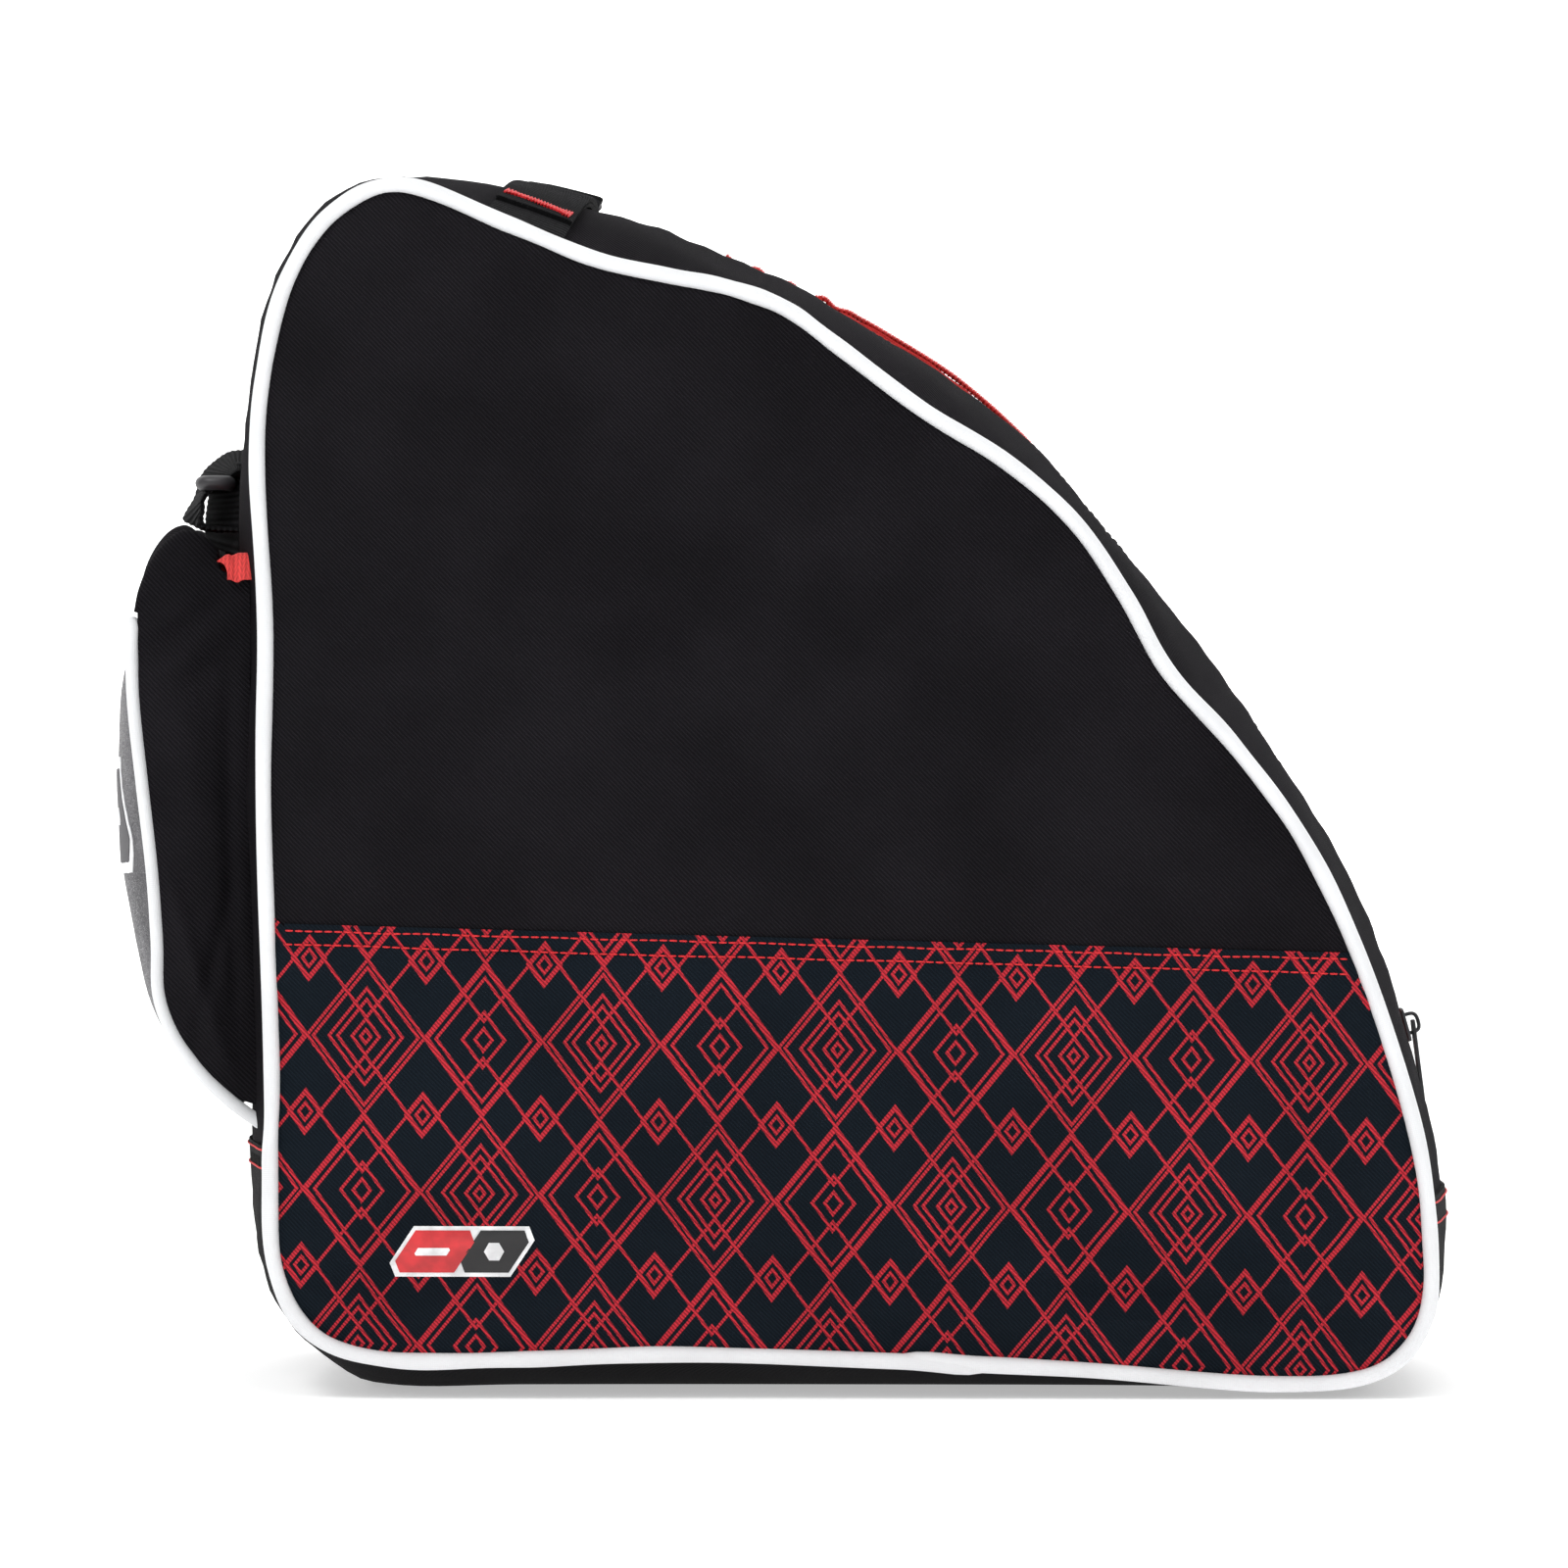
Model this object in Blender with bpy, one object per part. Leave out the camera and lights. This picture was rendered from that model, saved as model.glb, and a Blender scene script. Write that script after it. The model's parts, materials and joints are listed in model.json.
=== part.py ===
"""Skate bag: a padded, wedge-shaped shoulder bag with a zipped slope, a zipped front pocket,
a webbing band with a D-ring on top and a webbing loop with a ring in front.

The bag stands on its base. +X runs towards the heel (the low end of the slope), +Y away from the near
side, +Z up. The origin is the middle of the base, on the ground. Sizes are in millimetres until
mesh_object() and the other makers scale them to metres.
"""

import math

import bpy
import numpy as np
from mathutils import Matrix, Vector

MM = 0.001

# ---- driving dimensions, in millimetres ----
SEAM_Y = 105.0  # half the width between the two piped seams
PIPING_R = 2.75
GAP = 0.4  # between pieces that touch
FABRIC = 1.5
FOAM = 4.8
LINING = 0.8
DOME = 7.0  # how far the side panels stand out in their middle
HEM_LEFT, HEM_RIGHT = 144.6, 135.7  # heights of the printed panel's top edge at the two ends
HEM_LEFT_X, HEM_RIGHT_X = -175.0, 150.0

# The piped seam: x, z, how far the gusset bulges out from it, and how boxy the gusset's section is.
SEAM = [
    (-175.5, 70, 15.0, 2.6),
    (-175, 100, 15.5, 2.5),
    (-177.5, 180, 14.0, 2.5),
    (-177, 235, 14.3, 2.5),
    (-179.5, 285, 12.0, 2.5),
    (-177, 315, 11.0, 2.5),
    (-170, 341, 10.5, 2.5),
    (-156, 361, 11.0, 2.5),
    (-135, 369, 10.5, 2.5),
    (-103, 357, 18.3, 2.5),
    (-77, 346.5, 21.3, 2.5),
    (-55, 341.5, 19.3, 2.5),
    (-37, 338, 15.3, 2.5),
    (-19, 331.5, 14.0, 2.5),
    (-3, 320, 17.5, 2.5),
    (23, 300.5, 19.7, 2.5),
    (48, 285, 16.2, 2.5),
    (69, 266.5, 12.0, 2.5),
    (84.5, 244, 14.4, 2.5),
    (97.5, 221, 18.6, 2.5),
    (118, 198, 15.2, 2.5),
    (139, 169, 13.1, 2.5),
    (156.5, 132, 14.6, 2.5),
    (172, 84, 13.3, 2.5),
    (177, 50, 14.7, 3.0),
    (175.5, 24, 12.0, 5.0),
    (161, 8, 8.0, 8.0),
    (129, 4.5, 4.5, 8.0),
    (72, 8.8, 8.8, 8.0),
    (14, 11.5, 11.5, 8.0),
    (-52, 13.5, 13.5, 8.0),
    (-100, 12, 12.0, 8.0),
    (-140, 12, 12.0, 8.0),
    (-163, 20, 12.0, 5.0),
    (-174, 40, 13.0, 3.0),
]
STEPS = 2  # samples between two seam stations
BASE_FRONT, BASE_HEEL = 0, 24  # stations where the reinforced base begins and ends
PANEL_CENTRE = (-25.0, 160.0)
PANEL_RINGS = (1.0, 0.6)  # scales of the side panels' inner loops
FLAT_BASE_V = 0.72  # share of the base's half-width that lies flat on the ground

# ---- the main zip, along the crown of the slope ----
ZIP_TOP_X = -44.0
ZIP_LENGTH = 356.0
TOP_STUB, HEEL_STUB = 24.0, 26.0  # closed stretches beyond the two flaps
ZIP_WINDOW = 6.5  # half the slot between the two fabric edges
TAPE_HALF = 13.0
TAPE_INNER = 1.0
TAPE = (2.0, 2.8)  # depth below the fabric's outer face
COIL_HALF = 2.3
COIL_INNER = 0.3
COIL = (0.2, 1.6)
SLIDER_AT = 14.0  # the slider's place, back from the zip's lower end
COIL_END = 22.0  # the coil's lower end, back from the zip's lower end

FLAP_AXIS_RISE = 0.6  # the flaps' hinge axes stand this far over the highest point of their seams
SLIDER_OPEN_AT = 12.0  # the slider's place along the zip when the bag is open

# ---- webbing ----
WEB_HALF = 12.5
WEB = 1.2
BAND_X = -92.0  # the top band's place along the crown
RING_R = 1.6
TOP_RING_Y = 24.0
TOP_RING_HEIGHT = 3.9  # its bar's centre above the gusset
TOP_RING_HALF = 14.9
TOP_RING_DEPTH = 17.0
LOOP_NEAR, LOOP_FAR = -82.0, 31.5

# The front loop's outer ply and inner ply, x and z of their outer faces.
LOOP_OUTER = [
    (-192.4, 294.0),
    (-197.0, 293.3),
    (-201.5, 290.4),
    (-205.2, 286.8),
    (-207.0, 282.5),
    (-208.2, 278.0),
    (-210.6, 274.0),
    (-211.6, 271.0),
    (-208.4, 269.2),
    (-203.0, 267.2),
    (-192.4, 266.6),
]
LOOP_INNER = [(-200.9, 287.6), (-201.0, 282.0), (-202.4, 276.0), (-203.6, 270.6)]
FRONT_RING_R = 2.1
FRONT_RING_X = (-203.2, -194.9)
FRONT_RING_Z = 282.0
FRONT_RING_HALF = 15.3

# ---- the front pocket: x, z and crown of the face, from its top seam to its foot ----
POCKET_HALF = 72.0
POCKET_FACE = [
    (-220.3, 234, 5.0),
    (-219.6, 212, 9.5),
    (-216.8, 186, 13.0),
    (-213.8, 160, 14.5),
    (-212.3, 138, 12.0),
    (-211.8, 122, 8.5),
    (-207, 109, 6.5),
    (-198.5, 97.5, 6.0),
    (-189, 88.5, 6.0),
]
POCKET_PIPING_R = 2.0
LIP = [
    (-219.8, 240.0),
    (-222.4, 247.0),
    (-219.6, 255.5),
    (-213.0, 261.5),
    (-207.0, 262.6),
    (-202.6, 260.8),
    (-200.4, 258.0),
]
LIP_CROWN = 5.0  # how far the lip's front edge bows out in the middle
LIP_PUFF = 6.0  # how far it puffs up either side of the loop
LIP_AXIS = (-226.2, 0.0, 239.2)  # a point on the lip's hinge axis, which runs across the bag
POCKET_ZIP_X, POCKET_ZIP_Z = -196.2, 255.4
POCKET_ZIP_HALF = 66.0
POCKET_TAPE_INNER = 0.9  # from the zip's middle to each tape's and coil's edge, which clears the slider's post

NEAR, FAR = -1, 1


# ---- scene and mesh makers ----
def clear_scene():
    for old in list(bpy.data.objects):
        bpy.data.objects.remove(old, do_unlink=True)


def material(name, colour, roughness, metallic=0.0):
    made = bpy.data.materials.new(name)
    made.use_nodes = True
    shader = made.node_tree.nodes["Principled BSDF"]
    shader.inputs["Base Color"].default_value = (*colour, 1.0)
    shader.inputs["Roughness"].default_value = roughness
    shader.inputs["Metallic"].default_value = metallic
    made.diffuse_color = (*colour, 1.0)
    return made


def mesh_object(name, points, faces, look, smooth=True):
    """An object from points in millimetres."""
    mesh = bpy.data.meshes.new(name)
    mesh.from_pydata([tuple(MM * c for c in p) for p in points], [], faces)
    mesh.validate()
    made = bpy.data.objects.new(name, mesh)
    bpy.context.scene.collection.objects.link(made)
    mesh.materials.append(look)
    if smooth:
        mesh.shade_smooth()
        mesh.set_sharp_from_angle(angle=math.radians(40))
    return made


def thick_sheet(name, outer, inner, look, keep=None):
    """A closed sheet between two grids of points, with walls round every edge of the kept cells.

    outer and inner are rows of columns of points; the outer face looks out when, seen from outside,
    the columns turn clockwise from the rows.
    """
    rows, columns = len(outer), len(outer[0])
    kept = [
        (i, j)
        for i in range(rows - 1)
        for j in range(columns - 1)
        if keep is None or keep(i, j)
    ]
    points, faces, index = [], [], {}

    def corner(layer, i, j):
        key = (layer, i, j)
        if key not in index:
            index[key] = len(points)
            points.append(tuple((outer, inner)[layer][i][j]))
        return index[key]

    edges = {}
    for i, j in kept:
        ring = [(i, j), (i + 1, j), (i + 1, j + 1), (i, j + 1)]
        for half in (ring[:3], [ring[0], ring[2], ring[3]]):  # every sheet is split the same way
            faces.append([corner(0, *c) for c in half])
            faces.append([corner(1, *c) for c in reversed(half)])
        for a, b in zip(ring, ring[1:] + ring[:1]):
            edges[a, b] = True
    for a, b in edges:
        if (b, a) not in edges:
            faces.append([corner(0, *b), corner(0, *a), corner(1, *a), corner(1, *b)])
    return mesh_object(name, points, faces, look)


def prism(name, outline, y_low, y_high, look):
    """A flat plate: an outline in x and z, counter-clockwise seen from -Y, between two values of y."""
    count = len(outline)
    points = [(x, y_low, z) for x, z in outline] + [(x, y_high, z) for x, z in outline]
    faces = [list(range(count)), list(range(2 * count - 1, count - 1, -1))]
    for i in range(count):
        j = (i + 1) % count
        faces.append([j, i, i + count, j + count])
    return mesh_object(name, points, faces, look, smooth=False)


def local_frame(origin, along, up):
    """A matrix whose x runs along, z runs up and y completes them, at an origin in millimetres."""
    x = Vector(along).normalized()
    z = Vector(up)
    z = (z - x * z.dot(x)).normalized()
    y = z.cross(x)
    turn = Matrix((x, y, z)).transposed().to_4x4()
    return Matrix.Translation(Vector(origin) * MM) @ turn


def box_points(low, high):
    return [(x, y, z) for x in (low[0], high[0]) for y in (low[1], high[1]) for z in (low[2], high[2])]


BOX_FACES = [[0, 1, 3, 2], [4, 6, 7, 5], [0, 4, 5, 1], [2, 3, 7, 6], [0, 2, 6, 4], [1, 5, 7, 3]]


def box(name, low, high, look):
    return mesh_object(name, box_points(low, high), BOX_FACES, look, smooth=False)


def boolean(target, cutter, operation):
    """Joins or cuts with a helper that stays out of the part."""
    step = target.modifiers.new(operation.title(), "BOOLEAN")
    step.operation = operation
    step.object = cutter
    step.solver = "EXACT"
    cutter.hide_render = True
    cutter.display_type = "WIRE"


def hang_on(name, place, *pieces):
    """Parents pieces to an empty that stands on their joint's axis, and leaves them where they are."""
    pivot = bpy.data.objects.new(name, None)
    pivot.location = Vector(place) * MM
    bpy.context.scene.collection.objects.link(pivot)
    for piece in pieces:
        piece.parent = pivot
        piece.matrix_parent_inverse = Matrix.Translation(-pivot.location)


def tube(name, path, radius, look, closed, sides_resolution=1):
    """A round tube through points in millimetres."""
    curve = bpy.data.curves.new(name, "CURVE")
    curve.dimensions = "3D"
    curve.bevel_depth = radius * MM
    curve.bevel_resolution = sides_resolution
    curve.use_fill_caps = not closed
    spline = curve.splines.new("POLY")
    spline.points.add(len(path) - 1)
    for point, place in zip(spline.points, path):
        point.co = (*(MM * c for c in place), 1.0)
    spline.use_cyclic_u = closed
    made = bpy.data.objects.new(name, curve)
    bpy.context.scene.collection.objects.link(made)
    curve.materials.append(look)
    return made


def spline_through(stations, steps, closed):
    """Catmull-Rom samples through rows of numbers, steps of them to each span."""
    rows = np.array(stations, float)
    count = len(rows)
    spans = count if closed else count - 1
    found = []
    for i in range(spans):
        if closed:
            a, b, c, d = (rows[(i + k) % count] for k in (-1, 0, 1, 2))
        else:
            b, c = rows[i], rows[i + 1]
            a = rows[i - 1] if i else 2 * b - c
            d = rows[i + 2] if i + 2 < count else 2 * c - b
        for t in np.arange(steps) / steps:
            found.append(
                0.5 * (2 * b + (c - a) * t + (2 * a - 5 * b + 4 * c - d) * t**2 + (3 * b - a - 3 * c + d) * t**3)
            )
    if not closed:
        found.append(rows[-1])
    return np.array(found)


# ---- the bag's outline ----
OUTLINE = spline_through(SEAM, STEPS, closed=True)
COUNT = len(OUTLINE)


def outward_normals(outline):
    ahead = np.roll(outline[:, :2], -1, axis=0) - np.roll(outline[:, :2], 1, axis=0)
    ahead /= np.linalg.norm(ahead, axis=1)[:, None]
    return np.column_stack([-ahead[:, 1], ahead[:, 0]])


NORMALS = outward_normals(OUTLINE)


def station(u):
    """Seam point, outward normal, bulge and boxiness at u, counted in samples round the outline."""
    i = int(math.floor(u)) % COUNT
    t = u - math.floor(u)
    row = OUTLINE[i] * (1 - t) + OUTLINE[(i + 1) % COUNT] * t
    normal = NORMALS[i] * (1 - t) + NORMALS[(i + 1) % COUNT] * t
    return row[:2], normal / np.linalg.norm(normal), row[2], row[3]


GUSSET_Y = SEAM_Y - PIPING_R - GAP  # the gusset's edge lies against the piping


def on_gusset(u, y, depth=0.0):
    """A point of the gusset at y across it, depth below its outer face."""
    seam, normal, bulge, power = station(u)
    share = 1 - abs(y / GUSSET_Y) ** power
    if power > 7.9 and abs(y / GUSSET_Y) <= FLAT_BASE_V:
        share = 1.0
    place = seam + normal * (bulge * share - depth)
    height = place[1]
    if power > 7.9 and share == 1.0:
        height = depth  # the flat of the base, exactly on the ground
    return (place[0], y, height)


def crown_length():
    """Length along the crown at each sample from the base's front end."""
    crown = np.array([on_gusset(i, 0.0) for i in range(COUNT)])
    steps = np.linalg.norm(np.diff(crown, axis=0), axis=1)
    return crown, np.concatenate([[0], np.cumsum(steps)])


CROWN, LENGTHS = crown_length()
TOP_SAMPLES = range(STEPS * 8, STEPS * 20)


def u_where_x(x):
    """The sample where the crown of the arch and slope passes x."""
    for i in TOP_SAMPLES:
        if CROWN[i][0] <= x < CROWN[i + 1][0]:
            return i + (x - CROWN[i][0]) / (CROWN[i + 1][0] - CROWN[i][0])
    raise ValueError(x)


def u_along(length):
    """The sample at a length along the crown from the zip's top end."""
    total = ZIP_START_LENGTH + length
    return float(np.interp(total, LENGTHS, np.arange(COUNT)))


ZIP_START_U = u_where_x(ZIP_TOP_X)
ZIP_START_LENGTH = float(np.interp(ZIP_START_U, np.arange(COUNT), LENGTHS))
FLAP_FROM, FLAP_TO = TOP_STUB, ZIP_LENGTH - HEEL_STUB


def rows_between(low, high):
    """Samples from low to high, with whole ones between."""
    inner = [float(i) for i in range(math.ceil(low + 0.25), math.floor(high - 0.25) + 1)]
    return [low, *inner, high]


def gusset_sheet(name, us, ys, depth, thickness, look, keep=None):
    outer = [[on_gusset(u, y, depth) for y in ys] for u in us]
    inner = [[on_gusset(u, y, depth + thickness) for y in ys] for u in us]
    return thick_sheet(name, outer, inner, look, keep)


def flap_axis():
    """A point above the seams on the flaps' hinge axes, in x and z, and the axes' direction down the slope."""
    us = np.linspace(u_along(FLAP_FROM), u_along(FLAP_TO), 60)
    crown = np.array([on_gusset(u, 0.0) for u in us])[:, ::2]
    along = crown[-1] - crown[0]
    along /= np.linalg.norm(along)
    outward = np.array([-along[1], along[0]])
    highest = max(float(station(u)[0] @ outward) for u in us)
    return crown[0] + outward * (highest + FLAP_AXIS_RISE - float(crown[0] @ outward)), along


def slider_path_centre():
    """The middle of the circle through the crown at the slider's two ends and halfway between them."""
    closed_at = ZIP_LENGTH - SLIDER_AT
    lengths = (closed_at, (closed_at + SLIDER_OPEN_AT) / 2, SLIDER_OPEN_AT)
    a, b, c = (np.array(on_gusset(u_along(length), 0.0))[::2] for length in lengths)
    return np.linalg.solve(2 * np.array([b - a, c - a]), np.array([b @ b - a @ a, c @ c - a @ a]))


def mirrored(values):
    return sorted({-v for v in values} | set(values))


# ---- materials ----
def make_looks():
    return {
        "black": material("black_fabric", (0.022, 0.021, 0.024), 0.85),
        "base": material("base_fabric", (0.012, 0.012, 0.013), 0.8),
        "print": material("printed_fabric", (0.09, 0.03, 0.04), 0.85),
        "foam": material("foam", (0.5, 0.5, 0.5), 0.95),
        "lining": material("lining", (0.05, 0.05, 0.055), 0.8),
        "white": material("white_piping", (0.88, 0.89, 0.9), 0.45),
        "grey": material("grey_face", (0.2, 0.19, 0.2), 0.5),
        "red": material("red_zip", (0.75, 0.06, 0.05), 0.6),
        "web": material("webbing", (0.02, 0.02, 0.022), 0.75),
        "plastic": material("ring_plastic", (0.05, 0.048, 0.052), 0.4),
        "board": material("base_board", (0.3, 0.3, 0.3), 0.7),
        "metal": material("zip_metal", (0.12, 0.12, 0.125), 0.35, 0.9),
    }


# ---- side panels ----
def panel_loop(inset):
    return OUTLINE[:, :2] - NORMALS * inset


def side_plate(name, side, inset, y_outer, thickness, look):
    """A domed plate that fills the seam's outline, inset from it, y_outer from the middle of the bag."""
    loop = panel_loop(inset)
    centre = np.array(PANEL_CENTRE)
    count = len(loop)
    points, faces = [], []
    for y in (y_outer, y_outer - thickness):
        for scale in PANEL_RINGS:
            rise = DOME * (1 - scale**2)
            points += [(*place, y + rise) for place in centre + (loop - centre) * scale]
        points.append((*centre, y + DOME))
    points = [(x, side * y, z) for x, z, y in points]
    layer = count * len(PANEL_RINGS) + 1
    for face in (0, 1):
        base = face * layer
        found = []
        for ring in range(len(PANEL_RINGS) - 1):
            for i in range(count):
                j = (i + 1) % count
                a = base + ring * count
                found.append([a + i, a + j, a + count + j, a + count + i])
        last = base + count * (len(PANEL_RINGS) - 1)
        found += [[last + i, last + (i + 1) % count, base + layer - 1] for i in range(count)]
        faces += found if face == 0 else [f[::-1] for f in found]
    faces += [[(i + 1) % count, i, layer + i, layer + (i + 1) % count] for i in range(count)]
    if side == NEAR:
        faces = [f[::-1] for f in faces]
    return mesh_object(name, points, faces, look)


def hem_cutter(name, above, look):
    """A block with one face along the printed panel's top edge."""
    reach = 400.0
    slope = (HEM_RIGHT - HEM_LEFT) / (HEM_RIGHT_X - HEM_LEFT_X)
    shift = GAP / 2 if above else -GAP / 2
    left = HEM_LEFT + slope * (-reach - HEM_LEFT_X) - shift
    right = HEM_LEFT + slope * (reach - HEM_LEFT_X) - shift
    far_edge = reach + 100 if above else -100.0
    outline = [(-reach, left), (reach, right), (reach, far_edge), (-reach, far_edge)]
    if not above:
        outline = outline[::-1]
    return prism(name, outline, -200.0, 200.0, look)


def make_sides(looks):
    block_above = hem_cutter("cut_above_hem", True, looks["foam"])
    block_below = hem_cutter("cut_below_hem", False, looks["foam"])
    for side, word in ((NEAR, "near"), (FAR, "far")):
        rim = PIPING_R + GAP
        upper = side_plate("upper_panel_" + word, side, rim, SEAM_Y + 0.6, FABRIC, looks["black"])
        boolean(upper, block_below, "DIFFERENCE")
        lower = side_plate("lower_panel_" + word, side, rim, SEAM_Y + 0.6, FABRIC, looks["print"])
        boolean(lower, block_above, "DIFFERENCE")
        foam_y = SEAM_Y + 0.6 - FABRIC - GAP
        side_plate("foam_" + word, side, rim + 1.5, foam_y, FOAM, looks["foam"])
        lining_y = foam_y - FOAM - GAP
        side_plate("side_lining_" + word, side, rim + 1.5, lining_y, LINING, looks["lining"])
        path = [(x, side * SEAM_Y, z) for x, z in OUTLINE[:, :2]]
        tube("piping_" + word, path, PIPING_R, looks["white"], closed=True)


# ---- gusset, flaps and base ----
def make_gusset(looks):
    front_u, heel_u = BASE_FRONT * STEPS, BASE_HEEL * STEPS
    flap_from, flap_to = u_along(FLAP_FROM), u_along(FLAP_TO)
    half_gap = 0.03  # in samples, about 0.4 mm
    across = mirrored([ZIP_WINDOW, 35.0, 68.0, 88.0, GUSSET_Y])
    middle = across.index(-ZIP_WINDOW)

    def slot(first, last, us):
        return lambda i, j: not (j == middle and us[i] >= first - 1e-6 and us[i + 1] <= last + 1e-6)

    zip_top = u_along(0.0)
    us = rows_between(front_u + half_gap, zip_top) + rows_between(zip_top, flap_from - half_gap)[1:]
    gusset_sheet("gusset_front", us, across, 0.0, FABRIC, looks["black"], slot(zip_top, 999, us))
    zip_foot = u_along(ZIP_LENGTH)
    us = rows_between(flap_to + half_gap, zip_foot) + rows_between(zip_foot, heel_u - half_gap)[1:]
    gusset_sheet("gusset_heel", us, across, 0.0, FABRIC, looks["black"], slot(0, zip_foot, us))
    across_base = mirrored([FLAT_BASE_V * GUSSET_Y, 84.0, 94.0, GUSSET_Y]) + [0.0]
    us = rows_between(heel_u + half_gap, COUNT + front_u - half_gap)
    gusset_sheet("base_panel", us, sorted(across_base), 0.0, FABRIC, looks["base"])

    lining_y = mirrored([0.0, ZIP_WINDOW, 35.0, 68.0, 88.0])
    us = rows_between(front_u, u_along(-6.0))
    gusset_sheet("lining_front", us, lining_y, FABRIC + GAP, LINING, looks["lining"])
    us = rows_between(heel_u + 1, COUNT + front_u - 1)
    base_y = mirrored([0.0, FLAT_BASE_V * GUSSET_Y, 84.0, 94.0])
    gusset_sheet("lining_base", us, base_y, FABRIC + GAP, LINING, looks["lining"])
    board_z = FABRIC + LINING + 2 * GAP
    box("base_board", (-130, -71, board_z), (132, 71, board_z + 2.5), looks["board"])

    flap_us = rows_between(flap_from + half_gap, flap_to - half_gap)
    ys = [ZIP_WINDOW, 20.0, 40.0, 62.0, 80.0, 92.0, GUSSET_Y]
    tape_us = rows_between(u_along(1.0), u_along(ZIP_LENGTH - 1.0))
    coil_us = rows_between(u_along(7.0), u_along(ZIP_LENGTH - COIL_END))
    (axis_x, axis_z), _ = flap_axis()
    for side, word in ((NEAR, "near"), (FAR, "far")):
        flap_y = sorted(side * y for y in ys)
        tape_y = sorted(side * y for y in (TAPE_INNER, TAPE_HALF))
        coil_y = sorted(side * y for y in (COIL_INNER, COIL_HALF))
        pieces = [
            gusset_sheet("zip_flap_" + word, flap_us, flap_y, 0.0, FABRIC, looks["black"]),
            gusset_sheet("zip_tape_" + word, tape_us, tape_y, TAPE[0], TAPE[1] - TAPE[0], looks["red"]),
            gusset_sheet("zip_coil_" + word, coil_us, coil_y, COIL[0], COIL[1] - COIL[0], looks["red"]),
        ]
        hang_on("hinge_flap_" + word, (axis_x, side * GUSSET_Y, axis_z), *pieces)


def crown_frame(length, height=0.0, y=0.0):
    """A frame on the crown, x down the zip, y across and z out."""
    u = u_along(length)
    ahead = Vector(on_gusset(u + 0.2, 0.0)) - Vector(on_gusset(u - 0.2, 0.0))
    _, normal, _, _ = station(u)
    up = Vector((normal[0], 0.0, normal[1]))
    origin = Vector(on_gusset(u, y)) + up * height
    return local_frame(origin, ahead, up)


# ---- zip sliders and pullers, in a frame with x along the zip and z out of it ----
SLIDER_HALF_X, SLIDER_HALF_Y = 5.5, 4.4
POCKET_SLIDER_HALF_Y = 3.4
PLATE = 1.3
BAIL_Z = 2.0  # the puller's pivot above the slider's top plate
PULLER_LENGTH = 27.0


def make_slider(name, place, looks, top, foot, half_y=SLIDER_HALF_Y):
    """Two plates round the zip, joined by a post, with a bail on top. top and foot are the plates' near faces.

    It returns the slider and the height of its puller's pivot.
    """
    half_x = SLIDER_HALF_X
    body = box(name, (-half_x, -half_y, top), (half_x, half_y, top + PLATE), looks["metal"])
    pieces = [
        box("plate_" + name, (-half_x, -half_y, foot - PLATE), (half_x, half_y, foot), looks["metal"]),
        box("post_" + name, (1.2, -0.5, foot - 0.6), (4.4, 0.5, top + 0.6), looks["metal"]),
    ]
    deck = top + PLATE
    arch = [(-3.4, -0.3), (3.4, -0.3), (3.4, 2.6), (2.4, 3.9), (-2.4, 3.9), (-3.4, 2.6)]
    hole = [(-2.2, 0.4), (2.2, 0.4), (2.2, 2.7), (1.7, 3.1), (-1.7, 3.1), (-2.2, 2.7)]
    bail = prism("bail_" + name, [(x, deck + z) for x, z in arch], -0.8, 0.8, looks["metal"])
    window = prism("window_" + name, [(x, deck + z) for x, z in hole], -3.0, 3.0, looks["metal"])
    boolean(bail, window, "DIFFERENCE")
    for piece in [*pieces, bail]:
        boolean(body, piece, "UNION")
        piece.matrix_world = place
    window.matrix_world = place
    body.matrix_world = place
    return body, deck + BAIL_Z


def make_puller(name, place, looks):
    """A flat tab whose end bar passes through the slider's bail. The frame's origin is the pivot, x along the tab."""
    tab = [(-0.8, 2.4), (6.0, 3.0), (PULLER_LENGTH - 3, 3.4), (PULLER_LENGTH, 2.0)]
    outline = tab + [(x, -y) for x, y in reversed(tab)]
    points = [(x, y, -0.6) for x, y in outline] + [(x, y, 0.6) for x, y in outline]
    count = len(outline)
    faces = [list(range(count)), list(range(2 * count - 1, count - 1, -1))]
    faces += [[(i + 1) % count, i, i + count, (i + 1) % count + count] for i in range(count)]
    puller = mesh_object(name, points, faces, looks["metal"], smooth=False)
    slot = box("slot_" + name, (0.7, -1.3, -2.0), (5.2, 1.3, 2.0), looks["metal"])
    boolean(puller, slot, "DIFFERENCE")
    puller.matrix_world = place
    slot.matrix_world = place


def make_main_zip(looks):
    at = ZIP_LENGTH - SLIDER_AT
    place = crown_frame(at)
    slider, pivot = make_slider("zip_slider", place, looks, top=0.4, foot=-TAPE[1] - 0.4)
    centre_x, centre_z = slider_path_centre()
    hang_on("slider_path_centre", (centre_x, 0.0, centre_z), slider)
    make_puller("zip_puller", place @ Matrix.Translation((0, 0, pivot * MM)), looks)
    for name, length in (("zip_stop_top", 3.5), ("zip_stop_bottom", ZIP_LENGTH - 3.5)):
        stop = box(name, (-1.2, -3.2, -1.6), (1.2, 3.2, 0.2), looks["metal"])
        stop.matrix_world = crown_frame(length)


# ---- top band and D-ring ----
def band_rows():
    """Samples across the band's width, at its place on the crown."""
    middle = u_where_x(BAND_X)
    total = float(np.interp(middle, np.arange(COUNT), LENGTHS))
    offsets = (-WEB_HALF, -WEB_HALF / 2, 0.0, WEB_HALF / 2, WEB_HALF)
    return [float(np.interp(total + off, LENGTHS, np.arange(COUNT))) for off in offsets]


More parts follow.
